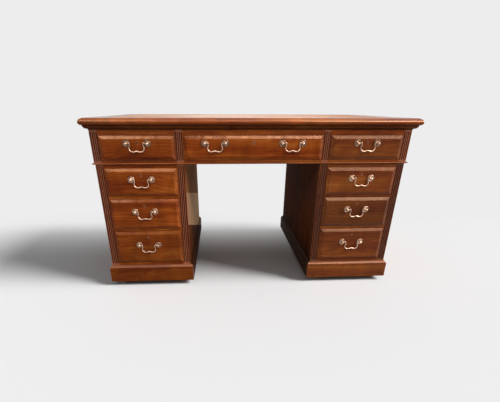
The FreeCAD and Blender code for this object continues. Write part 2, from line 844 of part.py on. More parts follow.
def knuckle_spans(middle_z):
    """Heights of the lower, middle and upper knuckle of a hinge."""
    third = hinge_length / 3
    low = middle_z - hinge_length / 2
    gap = hinge_knuckle_gap / 2
    return (
        (low, low + third - gap),
        (low + third + gap, low + 2 * third - gap),
        (low + 2 * third + gap, low + hinge_length),
    )


def hinge_leaf(side, middle_z, leaf_x, spans, bore):
    """A leaf in the gap beside the door, with its knuckles round the pin."""
    axis_x, axis_y = hinge_axis(side)
    face_y = pedestal_half_depth
    leaf_z = (middle_z - hinge_length / 2, middle_z + hinge_length / 2)
    parts = [box(leaf_x, (face_y - hinge_leaf_depth, face_y), leaf_z)]
    for z0, z1 in spans:
        parts.append(box(leaf_x, (face_y, axis_y), (z0, z1)))
        parts.append(rod(V(axis_x, axis_y, z0), V(axis_x, axis_y, z1), hinge_knuckle_radius))
    leaf = parts[0].fuse(parts[1:])
    pin_room = rod(V(axis_x, axis_y, leaf_z[0]), V(axis_x, axis_y, leaf_z[1]), bore)
    return one_solid(leaf.cut(pin_room))


def door_hinge_leaves():
    """The hinge leaves on the pedestals, with their pins."""
    pieces = []
    for _, side in pedestals:
        jamb = side * (pedestal_centre_x + pedestal_drawer_width / 2)
        axis_x, axis_y = hinge_axis(side)
        for middle_z in hinge_places():
            spans = knuckle_spans(middle_z)
            leaf_x = (jamb, jamb - side * hinge_leaf_thickness)
            leaf = hinge_leaf(side, middle_z, leaf_x, (spans[0], spans[2]), hinge_pin_radius)
            pin = rod(V(axis_x, axis_y, spans[0][0]), V(axis_x, axis_y, spans[2][1]), hinge_pin_radius)
            pieces += [leaf, pin]
    return pieces


def door_knob(x, face_y, z):
    """A turned knob on a round plate."""
    tip_y = face_y + knob_length
    head_y = tip_y - knob_radius
    plate = rod(V(x, face_y, z), V(x, face_y + knob_base_thickness, z), knob_base_radius)
    neck = rod(V(x, face_y, z), V(x, head_y, z), knob_neck_radius)
    head = Part.makeSphere(knob_radius, V(x, head_y, z))
    return one_solid(head.fuse([neck, plate]))


def door_fittings(side):
    """Hinge leaves on the door, and its knob."""
    x_span, z_span = door_spans(side)
    hinge_edge, free_edge = x_span
    pieces = []
    for middle_z in hinge_places():
        leaf_x = (hinge_edge, hinge_edge + side * hinge_leaf_thickness)
        bore = hinge_pin_radius + hinge_pin_clearance
        pieces.append(hinge_leaf(side, middle_z, leaf_x, knuckle_spans(middle_z)[1:2], bore))
    knob_x = free_edge + side * door_stile_width / 2
    knob_z = sum(z_span) / 2
    pieces.append(door_knob(knob_x, pedestal_half_depth, knob_z))
    return pieces


def castor_horn(x, y):
    """A brass horn: stem and collar under the block, crown and two cheeks round the wheel, and the axle."""
    crown_z = 2 * castor_wheel_radius + castor_wheel_headroom
    collar_z = crown_z + castor_crown_thickness
    stem_z = collar_z + castor_collar_thickness
    axle_y = castor_axle_y(y)
    axle_z = castor_wheel_radius
    inner = castor_wheel_width / 2 + castor_cheek_gap
    outer = inner + castor_cheek_thickness
    collar = rod(V(x, y, collar_z), V(x, y, stem_z), castor_collar_radius)
    stem = rod(V(x, y, stem_z), V(x, y, stem_z + castor_stem_length), castor_stem_radius)
    crown = rod(V(x, y, crown_z), V(x, y, collar_z), castor_collar_radius)
    pieces = [stem, crown]
    axle_bore = castor_axle_radius + castor_axle_clearance
    for side in (-1, 1):
        near, far = x + side * inner, x + side * outer
        reach = math.sqrt(castor_collar_radius ** 2 - outer ** 2)
        corners = [
            V(near, y - reach, collar_z),
            V(near, y + reach, collar_z),
            V(near, axle_y + castor_cheek_round, axle_z),
            V(near, axle_y - castor_cheek_round, axle_z),
        ]
        cheek = Part.Face(Part.makePolygon(corners + corners[:1])).extrude(V(far - near, 0, 0))
        foot = rod(V(near, axle_y, axle_z), V(far, axle_y, axle_z), castor_cheek_round)
        hole = rod(V(near, axle_y, axle_z), V(far, axle_y, axle_z), axle_bore)
        pieces.append(cheek.fuse(foot).cut(hole))
    horn = one_solid(collar.fuse(pieces))
    axle = rod(V(x - outer, axle_y, axle_z), V(x + outer, axle_y, axle_z), castor_axle_radius)
    return [horn, axle]


def castor_wheel(x, y):
    """A wheel with an eased tread, bored for its axle."""
    axle_y = castor_axle_y(y)
    start = V(x - castor_wheel_width / 2, axle_y, castor_wheel_radius)
    end = V(x + castor_wheel_width / 2, axle_y, castor_wheel_radius)
    disc = rod(start, end, castor_wheel_radius)
    rims = [edge for edge in disc.Edges if len(edge.Vertexes) == 1]
    disc = disc.makeFillet(castor_tread_round, rims)
    return one_solid(disc.cut(rod(start, end, castor_axle_radius + castor_axle_clearance)))


def save(name, pieces):
    """Write the solids of one named piece."""
    Part.makeCompound(pieces).exportStep(os.path.join("parts", name + ".step"))


def save_drawer(name, x_span, z, height, face_y, box_depth, handles, handle_rise):
    """A drawer with its fittings and its bails."""
    handle_z = z + height / 2 + handle_rise
    handle_xs = [x for _, x in handles]
    save("drawer_" + name, drawer(x_span, z, height, face_y, box_depth, handle_xs, handle_z))
    save("fittings_" + name, drawer_fittings(x_span, z, height, face_y, handle_xs, handle_z))
    for label, x in handles:
        save("bail_" + name + label, [moved(bail(), x, face_y - front_proud - post_standoff, handle_z)])


os.makedirs("parts", exist_ok=True)
save("desk_top", top_border())
save("writing_leather", [writing_leather()])
save("top_ovolo", top_ovolo())
save("frieze_frame", frieze_frame())
save("frieze_bead", frieze_bead())
save("inner_framing", inner_framing())
save("pedestal_sides", pedestal_sides())
save("door_hinge_leaves", door_hinge_leaves())

for name, x_span, handle_xs in frieze_openings():
    labels = ("",) if len(handle_xs) == 1 else ("_left", "_right")
    save_drawer("frieze_" + name, x_span, frieze_drawer_z, frieze_drawer_height, -frieze_half_depth,
                frieze_box_depth, list(zip(labels, handle_xs)), frieze_handle_rise)

for pedestal_name, side in pedestals:
    centre_x = side * pedestal_centre_x
    save(pedestal_name + "_pedestal_frame", pedestal_frame(centre_x))
    save(pedestal_name + "_plinth", plinth(side))
    save(pedestal_name + "_door", door(side))
    save(pedestal_name + "_door_fittings", door_fittings(side))
    opening = (centre_x - pedestal_drawer_width / 2, centre_x + pedestal_drawer_width / 2)
    for level, z, height in pedestal_drawers:
        save_drawer(pedestal_name + "_" + level, opening, z, height, -pedestal_half_depth,
                    pedestal_box_depth, [("", centre_x)], pedestal_handle_rise)
    for x_name, y_name, x_way, y_way in castor_places:
        x, y = castor_point(side, x_way, y_way)
        castor_name = "castor_" + pedestal_name + "_" + y_name + "_" + x_name
        save(castor_name + "_horn", castor_horn(x, y))
        save(castor_name + "_wheel", [castor_wheel(x, y)])
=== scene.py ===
# %% [markdown]
# A partners desk in polished mahogany
# The desk is a top with a leather writing surface, a frieze with three drawers, and two pedestals
# that stand on plinths and castors. Its pieces come ready made at their real sizes, so this lesson
# is about looks: timber, brass, leather, gilding, and the light that shows them. Each piece stays
# where the frame puts it, and every length here is in metres.

# %% Load the frame
import math
from functools import partial

import bmesh
import bpy
from mathutils import Matrix, Vector, noise


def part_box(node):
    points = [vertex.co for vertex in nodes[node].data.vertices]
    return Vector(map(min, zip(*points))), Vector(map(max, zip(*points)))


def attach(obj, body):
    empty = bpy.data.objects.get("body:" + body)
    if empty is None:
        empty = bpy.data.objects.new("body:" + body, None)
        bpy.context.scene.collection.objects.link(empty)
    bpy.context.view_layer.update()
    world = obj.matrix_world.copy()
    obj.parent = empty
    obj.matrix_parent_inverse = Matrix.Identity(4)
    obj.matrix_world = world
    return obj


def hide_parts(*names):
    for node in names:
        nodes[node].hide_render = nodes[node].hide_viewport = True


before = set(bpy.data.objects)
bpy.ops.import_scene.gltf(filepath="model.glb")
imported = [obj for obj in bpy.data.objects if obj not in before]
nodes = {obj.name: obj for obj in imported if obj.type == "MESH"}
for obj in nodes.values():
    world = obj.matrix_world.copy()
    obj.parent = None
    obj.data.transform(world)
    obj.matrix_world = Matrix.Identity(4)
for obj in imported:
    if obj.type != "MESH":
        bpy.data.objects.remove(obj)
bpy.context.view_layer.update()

# %% [markdown]
# The camera
# The desk is seen from a little above its own top by a wide lens that looks down. A camera can be
# aimed by eye, but here its angles were worked out from the corners of the desk in the picture. The
# lens axis doesn't pass through the middle of the picture, and the shift takes that up.

# %% Camera
picture_width, picture_height = 500, 402
lens_axis_pixel = (235.764, 242.8)
focal_pixels = 310.0
camera_place = Vector((-0.148, -1.776, 0.8379))
camera_turn, camera_tilt, camera_lean = 0.0503, 0.4118, 0.0035

def add_object(name, data):
    """A new object in the scene."""
    made = bpy.data.objects.new(name, data)
    bpy.context.scene.collection.objects.link(made)
    return made


forward = Vector((
    math.sin(camera_turn) * math.cos(camera_tilt),
    math.cos(camera_turn) * math.cos(camera_tilt),
    -math.sin(camera_tilt),
))
level_right = Vector((math.cos(camera_turn), -math.sin(camera_turn), 0.0))
level_up = level_right.cross(forward)
right = level_right * math.cos(camera_lean) + level_up * math.sin(camera_lean)
up = level_up * math.cos(camera_lean) - level_right * math.sin(camera_lean)

camera_data = bpy.data.cameras.new("camera")
camera_data.sensor_width = 36.0
camera_data.lens = focal_pixels / picture_width * camera_data.sensor_width
camera_data.shift_x = (picture_width / 2 - lens_axis_pixel[0]) / picture_width
camera_data.shift_y = (lens_axis_pixel[1] - picture_height / 2) / picture_width
camera = add_object("camera", camera_data)
axes = Matrix((right, up, -forward)).transposed()
camera.matrix_world = Matrix.Translation(camera_place) @ axes.to_4x4()
bpy.context.scene.camera = camera
bpy.context.scene.view_settings.view_transform = "Standard"
print("lens %.1f mm, shift %.3f %.3f" % (camera_data.lens, camera_data.shift_x, camera_data.shift_y))

# %% [markdown]
# Sums and colours
# A finish is a chain of small sums on the place of a point. Dragging nodes by hand shows that well, but
# a script reads better when a node is one call. Each helper finds its tree from the outputs it is given.

# %% Sums and colours
def paint(red, green, blue):
    """A colour on a scale of 0 to 255, as the linear values that a shader takes."""
    shares = [level / 255 for level in (red, green, blue)]
    linear = [s / 12.92 if s <= 0.04045 else ((s + 0.055) / 1.055) ** 2.4 for s in shares]
    return (*linear, 1.0)


def add_node(tree, kind, inputs=None, **settings):
    """Add a node, set its fields, then link or set its inputs by name or number."""
    made = tree.nodes.new(kind)
    for field, value in settings.items():
        setattr(made, field, value)
    for name, value in (inputs or {}).items():
        if isinstance(value, bpy.types.NodeSocket):
            tree.links.new(value, made.inputs[name])
        else:
            made.inputs[name].default_value = value
    return made


def result(kind, inputs, output=0, **settings):
    """An output of a new node, in the tree that its inputs come from."""
    tree = next(v.id_data for v in inputs.values() if isinstance(v, bpy.types.NodeSocket))
    return add_node(tree, kind, inputs, **settings).outputs[output]


def calc(operation, *values):
    """One sum on numbers."""
    return result("ShaderNodeMath", dict(enumerate(values)), operation=operation)


above, below, larger = (partial(calc, name) for name in ("GREATER_THAN", "LESS_THAN", "MAXIMUM"))
minus, times_plus, absolute = (partial(calc, name) for name in ("SUBTRACT", "MULTIPLY_ADD", "ABSOLUTE"))

def times(first, *others):
    """Numbers multiplied together."""
    for other in others:
        first = calc("MULTIPLY", first, other)
    return first


def inside(value, low, high):
    """One where a number lies between two limits."""
    return calc("COMPARE", value, (low + high) / 2, (high - low) / 2)


def spread(value, low, high, to_low=0.0, to_high=1.0):
    """A number moved from one range to another, and kept inside it."""
    return result("ShaderNodeMapRange", dict(enumerate((value, low, high, to_low, to_high))))


def blend(share, first, second, how="MIX"):
    """Two colours blended by a share."""
    inputs = {0: share, 6: first, 7: second}
    return result("ShaderNodeMix", inputs, 2, data_type="RGBA", blend_type=how)


def dimmed(colour, level):
    """A colour made darker or lighter by one number."""
    grey = result("ShaderNodeCombineXYZ", {0: level, 1: level, 2: level})
    return blend(1.0, colour, grey, "MULTIPLY")


def ramp(value, stops):
    """A colour read off a scale of stops."""
    colour = result("ShaderNodeValToRGB", {0: value})
    elements = colour.node.color_ramp.elements
    while len(elements) < len(stops):
        elements.new(0.5)
    for element, (position, shade) in zip(elements, stops):
        element.position = position
        element.color = paint(*shade)
    return colour


print("mid brown is", [round(c, 3) for c in paint(115, 52, 18)[:3]])

# %% [markdown]
# Places and materials
# Every pattern starts from the place of a point on its own piece. Since all pieces sit at the origin,
# that place is also the place in the room, so one rule can speak of the kneehole on any of them.

# %% Places and materials
def empty_tree(owner):
    """The cleared node tree of a material or of the world."""
    owner.use_nodes = True
    owner.node_tree.nodes.clear()
    return owner.node_tree


def new_material(name, levels=None):
    """A new material, its tree, and its shader with some levels set."""
    made = bpy.data.materials.new(name)
    tree = empty_tree(made)
    shader = add_node(tree, "ShaderNodeBsdfPrincipled", levels)
    add_node(tree, "ShaderNodeOutputMaterial", {0: shader.outputs[0]})
    return made, tree, shader


def link_finish(shader, colour, rough, bump=None):
    """Link a shader's colour, its roughness and, where there is one, its bump."""
    for name, value in (("Base Color", colour), ("Roughness", rough), ("Normal", bump)):
        if value is not None:
            shader.id_data.links.new(value, shader.inputs[name])


def point_place(tree):
    """The place of a point on its piece."""
    return add_node(tree, "ShaderNodeTexCoord").outputs["Object"]


def parts_of(place):
    """The three numbers of a place or a direction."""
    return result("ShaderNodeSeparateXYZ", {0: place}).node.outputs


def move_place(operation, first, second):
    """One sum on two places."""
    return result("ShaderNodeVectorMath", {0: first, 1: second}, operation=operation)


def length_of(place):
    """How far a place is from the middle."""
    return result("ShaderNodeVectorMath", {0: place}, "Value", operation="LENGTH")


def clouds(place, scale, detail, twist=0.0):
    """Cloudy patches, a given number to the metre."""
    inputs = {"Vector": place, "Scale": scale, "Detail": detail, "Distortion": twist}
    return result("ShaderNodeTexNoise", inputs)


def patchy_finish(name, per_metre, stops, rough, levels):
    """A finish in cloudy patches: a scale of colours, and two roughnesses that go with it."""
    made, tree, shader = new_material(name, levels)
    patch = clouds(point_place(tree), per_metre, 3.0)
    link_finish(shader, ramp(patch, stops), spread(patch, 0.3, 0.7, *rough))
    return made


print("pieces that sit at the origin:", sum(piece.location.length == 0 for piece in nodes.values()))

# %% [markdown]
# The floor
# The desk stands on a pale seamless floor. A studio would hang a curved sheet of paper. A flat floor that
# fades into plain light does the same with one face, and it keeps the desk's shadow. Light on its way to
# the desk meets a duller floor than the eye does, which keeps the undersides of the mouldings dark.

# %% Floor
pale = paint(237, 237, 237)
floor_shown = (0.93, 0.93, 0.93, 1.0)
floor_bounce = (0.50, 0.48, 0.46, 1.0)
floor_half = 30.0
fade_start, fade_end = 1.7, 3.6
back_start, back_end, back_share = -0.1, 0.6, 0.9

def seen_ray(tree):
    """One where the camera, a reflection or a clear piece looks, and none for light on its way."""
    ray = add_node(tree, "ShaderNodeLightPath").outputs
    either = larger(ray["Is Camera Ray"], ray["Is Glossy Ray"])
    return larger(either, ray["Is Transmission Ray"])


def floor_finish():
    """Pale paper that turns into backdrop."""
    made = bpy.data.materials.new("pale_floor")
    tree = empty_tree(made)
    seen = seen_ray(tree)
    lit = result("ShaderNodeBsdfDiffuse", {"Color": blend(seen, floor_bounce, floor_shown)})
    backdrop = add_node(tree, "ShaderNodeEmission", {"Color": pale}).outputs[0]
    place = point_place(tree)
    far = spread(length_of(place), fade_start, fade_end)
    behind = times(calc("POWER", spread(parts_of(place)[1], back_start, back_end), 2.0), back_share)
    share = times(seen, larger(behind, far))
    both = result("ShaderNodeMixShader", {0: share, 1: lit, 2: backdrop})
    add_node(tree, "ShaderNodeOutputMaterial", {0: both})
    return made


floor_mesh = bpy.data.meshes.new("floor")
floor_corners = [(x * floor_half, y * floor_half, 0.0) for x, y in ((-1, -1), (1, -1), (1, 1), (-1, 1))]
floor_mesh.from_pydata(floor_corners, [], [(0, 1, 2, 3)])
floor_mesh.materials.append(floor_finish())
floor = add_object("floor", floor_mesh)
print("floor is", 2 * floor_half, "m wide")

# %% [markdown]
# The light
# A soft sky lights the whole desk, a low sun on the right throws a long soft shadow to the left, and
# windows before the desk show as glints along the bevels. The tall one on the right is the main one, so
# the left bevels stay dark. Windows would leave the floor uneven, so light linking keeps them off it.

# %% Light
sky_level, sky_overhead = (0.098, 0.10, 0.101, 1.0), (0.294, 0.30, 0.303, 1.0)
sun_strength, sun_breadth = 3.6, math.radians(24)
sun_height, sun_forward = math.radians(38), math.radians(12)
warm_light = (1.0, 0.89, 0.78)
aim_across, aim_deep, aim_height = 0.4, 0.1, 0.5
windows = {
    "left_window": ((-1.3, -2.7, 2.85), (1.5, 0.6), 8.5),
    "middle_window": ((0.45, -2.7, 3.25), (1.6, 0.35), 13.0),
    "right_window": ((1.9, -2.7, 2.45), (1.6, 1.7), 7.2),
    "low_left_window": ((-1.75, -2.7, 2.2), (0.6, 0.5), 7.0),
    "back_window": ((0.5, 3.2, 2.3), (2.2, 1.2), 2.4),
}

def sky():
    """A sky that is brightest overhead, behind a pale backdrop."""
    world = bpy.data.worlds.new("sky")
    bpy.context.scene.world = world
    tree = empty_tree(world)
    direction = add_node(tree, "ShaderNodeTexCoord").outputs["Generated"]
    dome = blend(parts_of(direction)[2], sky_level, sky_overhead)
    colour = blend(seen_ray(tree), dome, pale)
    light = result("ShaderNodeBackground", {"Color": colour, "Strength": 1.0})
    add_node(tree, "ShaderNodeOutputWorld", {0: light})


def low_sun():
    """A broad sun on the right, a little before the desk."""
    lamp = bpy.data.lights.new("low_sun", "SUN")
    lamp.energy = sun_strength
    lamp.angle = sun_breadth
    source = Vector((
        math.cos(sun_height) * math.cos(sun_forward),
        -math.cos(sun_height) * math.sin(sun_forward),
        math.sin(sun_height),
    ))
    add_object("low_sun", lamp).rotation_euler = source.to_track_quat("Z", "Y").to_euler()


def window(name, place, size, radiance, lit):
    """A soft rectangular lamp with warm light, turned to the desk."""
    lamp = bpy.data.lights.new(name, "AREA")
    lamp.shape = "RECTANGLE"
    lamp.color = warm_light
    lamp.size, lamp.size_y = size
    lamp.energy = radiance * math.pi * size[0] * size[1]
    made = add_object(name, lamp)
    made.location = place
    aim = Vector((place[0] * aim_across, place[1] * aim_deep, aim_height)) - made.location
    made.rotation_euler = aim.to_track_quat("-Z", "Y").to_euler()
    made.light_linking.receiver_collection = lit


sky()
low_sun()
all_but_floor = bpy.data.collections.new("all_but_floor")
all_but_floor.objects.link(floor)
all_but_floor.collection_objects[0].light_linking.link_state = "EXCLUDE"
for name, (place, size, radiance) in windows.items():
    window(name, place, size, radiance, all_but_floor)
print("windows:", len(windows), "and a sun")

# %% [markdown]
# Mahogany
# Old polished mahogany is red brown with amber lights. Its figure is drawn out along the grain: broad
# cloudy bands, finer ribbons, faint growth rings and very fine pores, with a soft ripple across. A
# picture of wood could be wrapped round each board, but a formula gives every board a figure of its own.
# The group takes a place along the grain, a board number that moves the figure, and a tone.

# %% Mahogany figure
mahogany_stops = [
    (0.05, (84, 30, 10)),
    (0.38, (113, 49, 14)),
    (0.64, (132, 66, 20)),
    (0.95, (156, 91, 36)),
]
broad_share, ribbon_share, ring_share, fibre_share = 0.64, 0.17, 0.08, 0.11
board_shift = (0.73, 0.31, 0.47)

def streaks(grain, length, width, detail=2.0, twist=0.0):
    """Clouds drawn out along the grain: the length and width of one streak."""
    return clouds(move_place("MULTIPLY", grain, (1 / length, 1 / width, 1 / width)), 1.0, detail, twist)


def growth_rings(grain, broad):
    """Rings about a heart that wanders beside the board."""
    wander = times(broad, 0.09)
    moved = move_place("ADD", grain, result("ShaderNodeCombineXYZ", {1: wander, 2: wander}))
    inputs = {"Vector": moved, "Scale": 24.0, "Distortion": 1.5, "Detail": 2.0, "Detail Scale": 0.4}
    return result("ShaderNodeTexWave", inputs, 1, wave_type="RINGS", rings_direction="X")


def mahogany_group():
    """Colour, roughness, fine height and slow wave of a polished board."""
    tree = bpy.data.node_groups.new("mahogany_figure", "ShaderNodeTree")
    for name, kind in (("Grain", "Vector"), ("Board", "Float"), ("Tone", "Float")):
        tree.interface.new_socket(name, in_out="INPUT", socket_type="NodeSocket" + kind)
    for name, kind in (("Color", "Color"), ("Roughness", "Float"), ("Height", "Float"), ("Wave", "Float")):
        tree.interface.new_socket(name, in_out="OUTPUT", socket_type="NodeSocket" + kind)
    given = add_node(tree, "NodeGroupInput").outputs
    inputs = {0: board_shift, "Scale": given["Board"]}
    grain = move_place("ADD", given["Grain"], result("ShaderNodeVectorMath", inputs, operation="SCALE"))
    broad = streaks(grain, 0.55, 0.075, 3.0, 0.5)
    ribbon = streaks(grain, 0.34, 0.014, 3.0, 0.3)
    fibre = streaks(grain, 0.07, 0.0022)
    pores = streaks(grain, 0.011, 0.0006, 1.0)
    ripple = streaks(grain, 0.045, 0.14, 2.0, 0.4)
    rings = growth_rings(grain, broad)
    figure = times(broad, broad_share)
    for part, share in ((ribbon, ribbon_share), (rings, ring_share), (fibre, fibre_share)):
        figure = times_plus(part, share, figure)
    colour = ramp(spread(figure, 0.29, 0.72), mahogany_stops)
    open_pore = spread(pores, 0.60, 0.72)
    pore_shade = spread(open_pore, 0.0, 1.0, 1.0, 0.72)
    light = times(spread(ripple, 0.3, 0.7, 0.84, 1.16), pore_shade, given["Tone"])
    add_node(tree, "NodeGroupOutput", {
        "Color": dimmed(colour, light), "Roughness": spread(broad, 0.3, 0.7, 0.13, 0.22),
        "Height": times_plus(open_pore, -0.6, fibre), "Wave": ripple,
    })
    return tree


mahogany = mahogany_group()
print("mahogany group has", len(mahogany.nodes), "nodes")

# %% [markdown]
# Which way the grain runs
# A joiner runs the grain along every board: along rails and drawer fronts, up the stiles, and round a
# frame of mitred strips. Cutting each node into boards would change the frame, so the material works out
# from the place of a point which board it is on, and turns the figure to suit.

# %% Grain rules
stile_width = 0.035
frame_thickness = 0.022
door_stile_width = 0.048
frieze_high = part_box("frieze_frame")[1]
right_low, right_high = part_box("right_pedestal_frame")
kneehole_half = right_low.x

def pick_place(share, first, second):
    """One of two places, picked by a share of 0 or 1."""
    return result("ShaderNodeMix", {0: share, 4: first, 5: second}, 1, data_type="VECTOR")


def along(place, axis):
    """A place turned so that its first number runs along one axis."""
    order = {"x": (0, 1, 2), "y": (1, 0, 2), "z": (2, 0, 1)}[axis]
    return result("ShaderNodeCombineXYZ", {to: place[of] for to, of in enumerate(order)})


def off_middle(value, middle):
    """How far a number is from a middle, on either side."""
    return absolute(minus(value, middle))


def upright(place):
    """Boards that stand on end."""
    return along(place, "z")


def middle_and_half(node):
    """The middle of a node's box, and half its size."""
    low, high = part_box(node)
    return (low + high) / 2, (high - low) / 2


def mitred(node):
    """Strips round a rectangle, which meet at 45 degrees."""
    middle, half = middle_and_half(node)

    def rule(place):
        nearer_end = minus(off_middle(place[0], middle.x), off_middle(place[1], middle.y))
        return pick_place(above(nearer_end, half.x - half.y), along(place, "x"), along(place, "y"))
    return rule


def frieze_boards(place):
    """Upright stiles, rails along the width, and end boards along the depth."""
    across = absolute(place[0])
    divider = inside(across, kneehole_half, kneehole_half + stile_width)
    end = above(across, frieze_high.x - stile_width)
    face = above(absolute(place[1]), right_high.y - frame_thickness)
    stile = times(larger(divider, end), face)
    boards = pick_place(stile, along(place, "x"), upright(place))
    return pick_place(face, along(place, "y"), boards)


def framed(node, stile):
    """Upright stiles at both sides of a frame, and rails between them."""
    middle, half = middle_and_half(node)

    def rule(place):
        on_stile = above(off_middle(place[0], middle.x), half.x - stile)
        return pick_place(on_stile, along(place, "x"), upright(place))
    return rule


def door_boards(node):
    """A frame of stiles and rails round an upright panel."""
    low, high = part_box(node)
    frame_rule = framed(node, door_stile_width)

    def rule(place):
        panel = inside(place[2], low.z + door_stile_width, high.z - door_stile_width)
        return pick_place(panel, frame_rule(place), upright(place))
    return rule


wood_rules = {"frieze_frame": frieze_boards, "pedestal_sides": upright}
for node in ("desk_top", "top_ovolo", "frieze_bead", "left_plinth", "right_plinth"):
    wood_rules[node] = mitred(node)
for side in ("left", "right"):
    wood_rules[side + "_pedestal_frame"] = framed(side + "_pedestal_frame", stile_width)
    wood_rules[side + "_door"] = door_boards(side + "_door")
print("grain rules for", sorted(wood_rules))

# %% [markdown]
# Painted shade and highlights
# Every corner gets a dark line of painted shade. The flutes get painted shade in their grooves and a
# painted highlight on the lands between them, and the stiles of the right pedestal get painted shade all
# over. Shade could be painted on by hand, but it follows the shape, so it is worked out: a corner is
# told by how little open air a point sees, and a flute by its depth under the face.

# %% Painted shade in corners and flutes
corner_reach, corner_shade = 0.012, 0.45
flute_row = 0.015
flute_lip, flute_depth = 0.0003, 0.0024
flute_shade, land_highlight = 0.9, 0.3
stile_shade_of = {"right_pedestal_frame": 0.5}
fluted_nodes = ("frieze_frame", "left_pedestal_frame", "right_pedestal_frame")
shade_brown = paint(42, 17, 12)
highlight_pink = paint(178, 124, 104)

def open_air(tree, reach):
    """How open a point lies: little in a corner, one on a free face."""
    return add_node(tree, "ShaderNodeAmbientOcclusion", {"Distance": reach}, samples=6).outputs["AO"]


def painted_corner_shade(colour):
    """A colour with painted shade where little open air reaches, as in corners."""
    return dimmed(colour, spread(open_air(colour.id_data, corner_reach), 0.25, 0.95, corner_shade, 1.0))


def flute_shade_and_highlight(place, colour, node):
    """Painted shade in the flutes and on some stiles, and a painted highlight on the lands."""
    low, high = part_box(node)
    across = absolute(place[0])
    stiles = 0.0
    for middle in (kneehole_half + stile_width / 2, max(-low.x, high.x) - stile_width / 2):
        stiles = larger(stiles, inside(across, middle - flute_row, middle + flute_row))
    # Some stiles get painted shade all over.
    stile_shade = stile_shade_of.get(node, 0.0)
    if stile_shade:
        colour = blend(times(stiles, stile_shade), colour, shade_brown)
    depth = minus(-low.y, absolute(place[1]))
    # A painted highlight on the lands and painted shade in the grooves, by depth under the face.
    dust_and_highlight = spread(depth, flute_lip, flute_depth, land_highlight * (1 - stile_shade), 0.0)
    groove_shade = spread(depth, flute_lip, flute_depth, 0.0, flute_shade)
    colour = blend(times(stiles, dust_and_highlight), colour, highlight_pink)
    return blend(times(stiles, groove_shade), colour, shade_brown)


print("flutes waxed on", len(fluted_nodes), "frames")

# %% [markdown]
# Round the knees
# The boards that line the kneehole are dull, with painted shade that grows darker towards the floor. The
# upper part of the right one has painted shade in dark grey. On the left one lies a painted reflection
# in tan, strong in one slanted patch and thin above it, with a film of dust sheen over the same place. A
# sheen shows at a glancing angle and hardly at all from straight on, so the polish gets it as a mask.

# %% Kneehole lining
lining_depth, face_skin = 0.0012, 0.0002
lining_low, lining_high = 0.10, 0.60
lining_dark, lining_light = 0.15, 1.05
lining_shade_grey = paint(38, 28, 30)
right_shade_low, right_shade_high, right_shade = 0.2, 0.45, 0.6
dull_roughness = 0.7
patch_low, patch_low_slant = 0.185, 0.37
patch_high, patch_high_slant = 0.382, 0.26
reflection_tan = paint(178, 130, 82)
thin_share, patch_share, patch_gloss = 0.08, 0.22, 0.42
thin_dust = 0.35

def kneehole_lining(place, colour, rough):
    """The lining's colour with painted shade and reflection, its roughness, where it is, and its sheen mask.
    """
    near = below(absolute(place[0]), kneehole_half + lining_depth)
    behind = below(absolute(place[1]), right_high.y - face_skin)
    inner = times(near, below(place[2], right_high.z), behind)
    left = times(below(place[0], 0.0), inner)
    reflection_area = times(left, above(times_plus(place[1], patch_low_slant, place[2]), patch_low))
    patch = times(reflection_area, below(times_plus(place[1], patch_high_slant, place[2]), patch_high))
    # Painted shade, darker towards the floor.
    shade = spread(place[2], lining_low, lining_high, lining_dark, lining_light)
    colour = blend(inner, colour, dimmed(colour, shade))
    # Painted reflection in tan, thin above the low slanted line.
    colour = blend(times(reflection_area, thin_share), colour, reflection_tan)
    # Painted shade in dark grey on the upper part of the right lining.
    grey = spread(place[2], right_shade_low, right_shade_high, 0.0, right_shade)
    colour = blend(times(minus(inner, left), grey), colour, lining_shade_grey)
    # Painted reflection in tan, stronger on the slanted patch.
    colour = blend(times(patch, patch_share), colour, reflection_tan)
    dull = times_plus(patch, -patch_gloss, inner)
    rough = times_plus(dull, dull_roughness, rough)
    film = times_plus(patch, 1 - thin_dust, times(reflection_area, thin_dust))
    return colour, rough, inner, film


print("kneehole is %.3f m wide" % (2 * kneehole_half))

# %% [markdown]
# French polish
# French polish is a thin clear film, amber with age, so the shader keeps a low sharp shine with a warm
# tint over the colour. Where a duster or dust has been, a mask mixes in a second film with a brighter
# shine or a sheen. Only the mask changes from place to place: each level is set on its film's own socket.
# A slow wave in the bump stands for the marks of the hand plane.

# %% Polish
plain_shine, right_shine = 0.09, 0.26
amber_film = (1.0, 0.66, 0.45, 1.0)
pale_film = (1.0, 0.78, 0.60, 1.0)
wave_depth = 0.0012
grain_strength, grain_depth = 0.05, 0.0004
dust_roughness = 0.3
pale_dust = paint(224, 182, 134)

def bumped(height, strength, distance, **more):
    """A surface that rises and falls with a height."""
    inputs = {"Height": height, "Strength": strength, "Distance": distance}
    return result("ShaderNodeBump", inputs, **more)


def second_film(shader, mask, dust_and_highlight):
    """Another shader, mixed in by a mask, with some sheen where it stands for dust."""
    surface = shader.outputs[0].links[0].to_socket
    sheen = {"Sheen Weight": dust_and_highlight, "Sheen Roughness": dust_roughness, "Sheen Tint": pale_dust}
    film = add_node(shader.id_data, "ShaderNodeBsdfPrincipled", sheen if dust_and_highlight else None)
    both = result("ShaderNodeMixShader", {0: mask, 1: shader.outputs[0], 2: film.outputs[0]})
    shader.id_data.links.new(both, surface)
    return film


def polish(shader, colour, rough, figure, shine, tint, mask=None, mask_shine=0.0, dust_and_highlight=0.0):
    """A clear film over a planed ground, and a second film where a mask is one."""
    bump = bumped(figure["Height"], grain_strength, grain_depth)
    shader.id_data.links.new(bumped(figure["Wave"], 1.0, wave_depth), bump.node.inputs["Normal"])
    films = [(shader, shine)]
    if mask is not None:
        films.append((second_film(shader, mask, dust_and_highlight), mask_shine))
    for film, level in films:
        link_finish(film, colour, rough, bump)
        film.inputs["Specular IOR Level"].default_value = level
        film.inputs["Specular Tint"].default_value = tint


def board_figure(grain, board, tone):
    """The mahogany group on one board."""
    inputs = {"Grain": grain, "Board": board, "Tone": tone}
    return add_node(grain.id_data, "ShaderNodeGroup", inputs, node_tree=mahogany).outputs


print("films: plain %.2f, right side %.2f" % (plain_shine, right_shine))
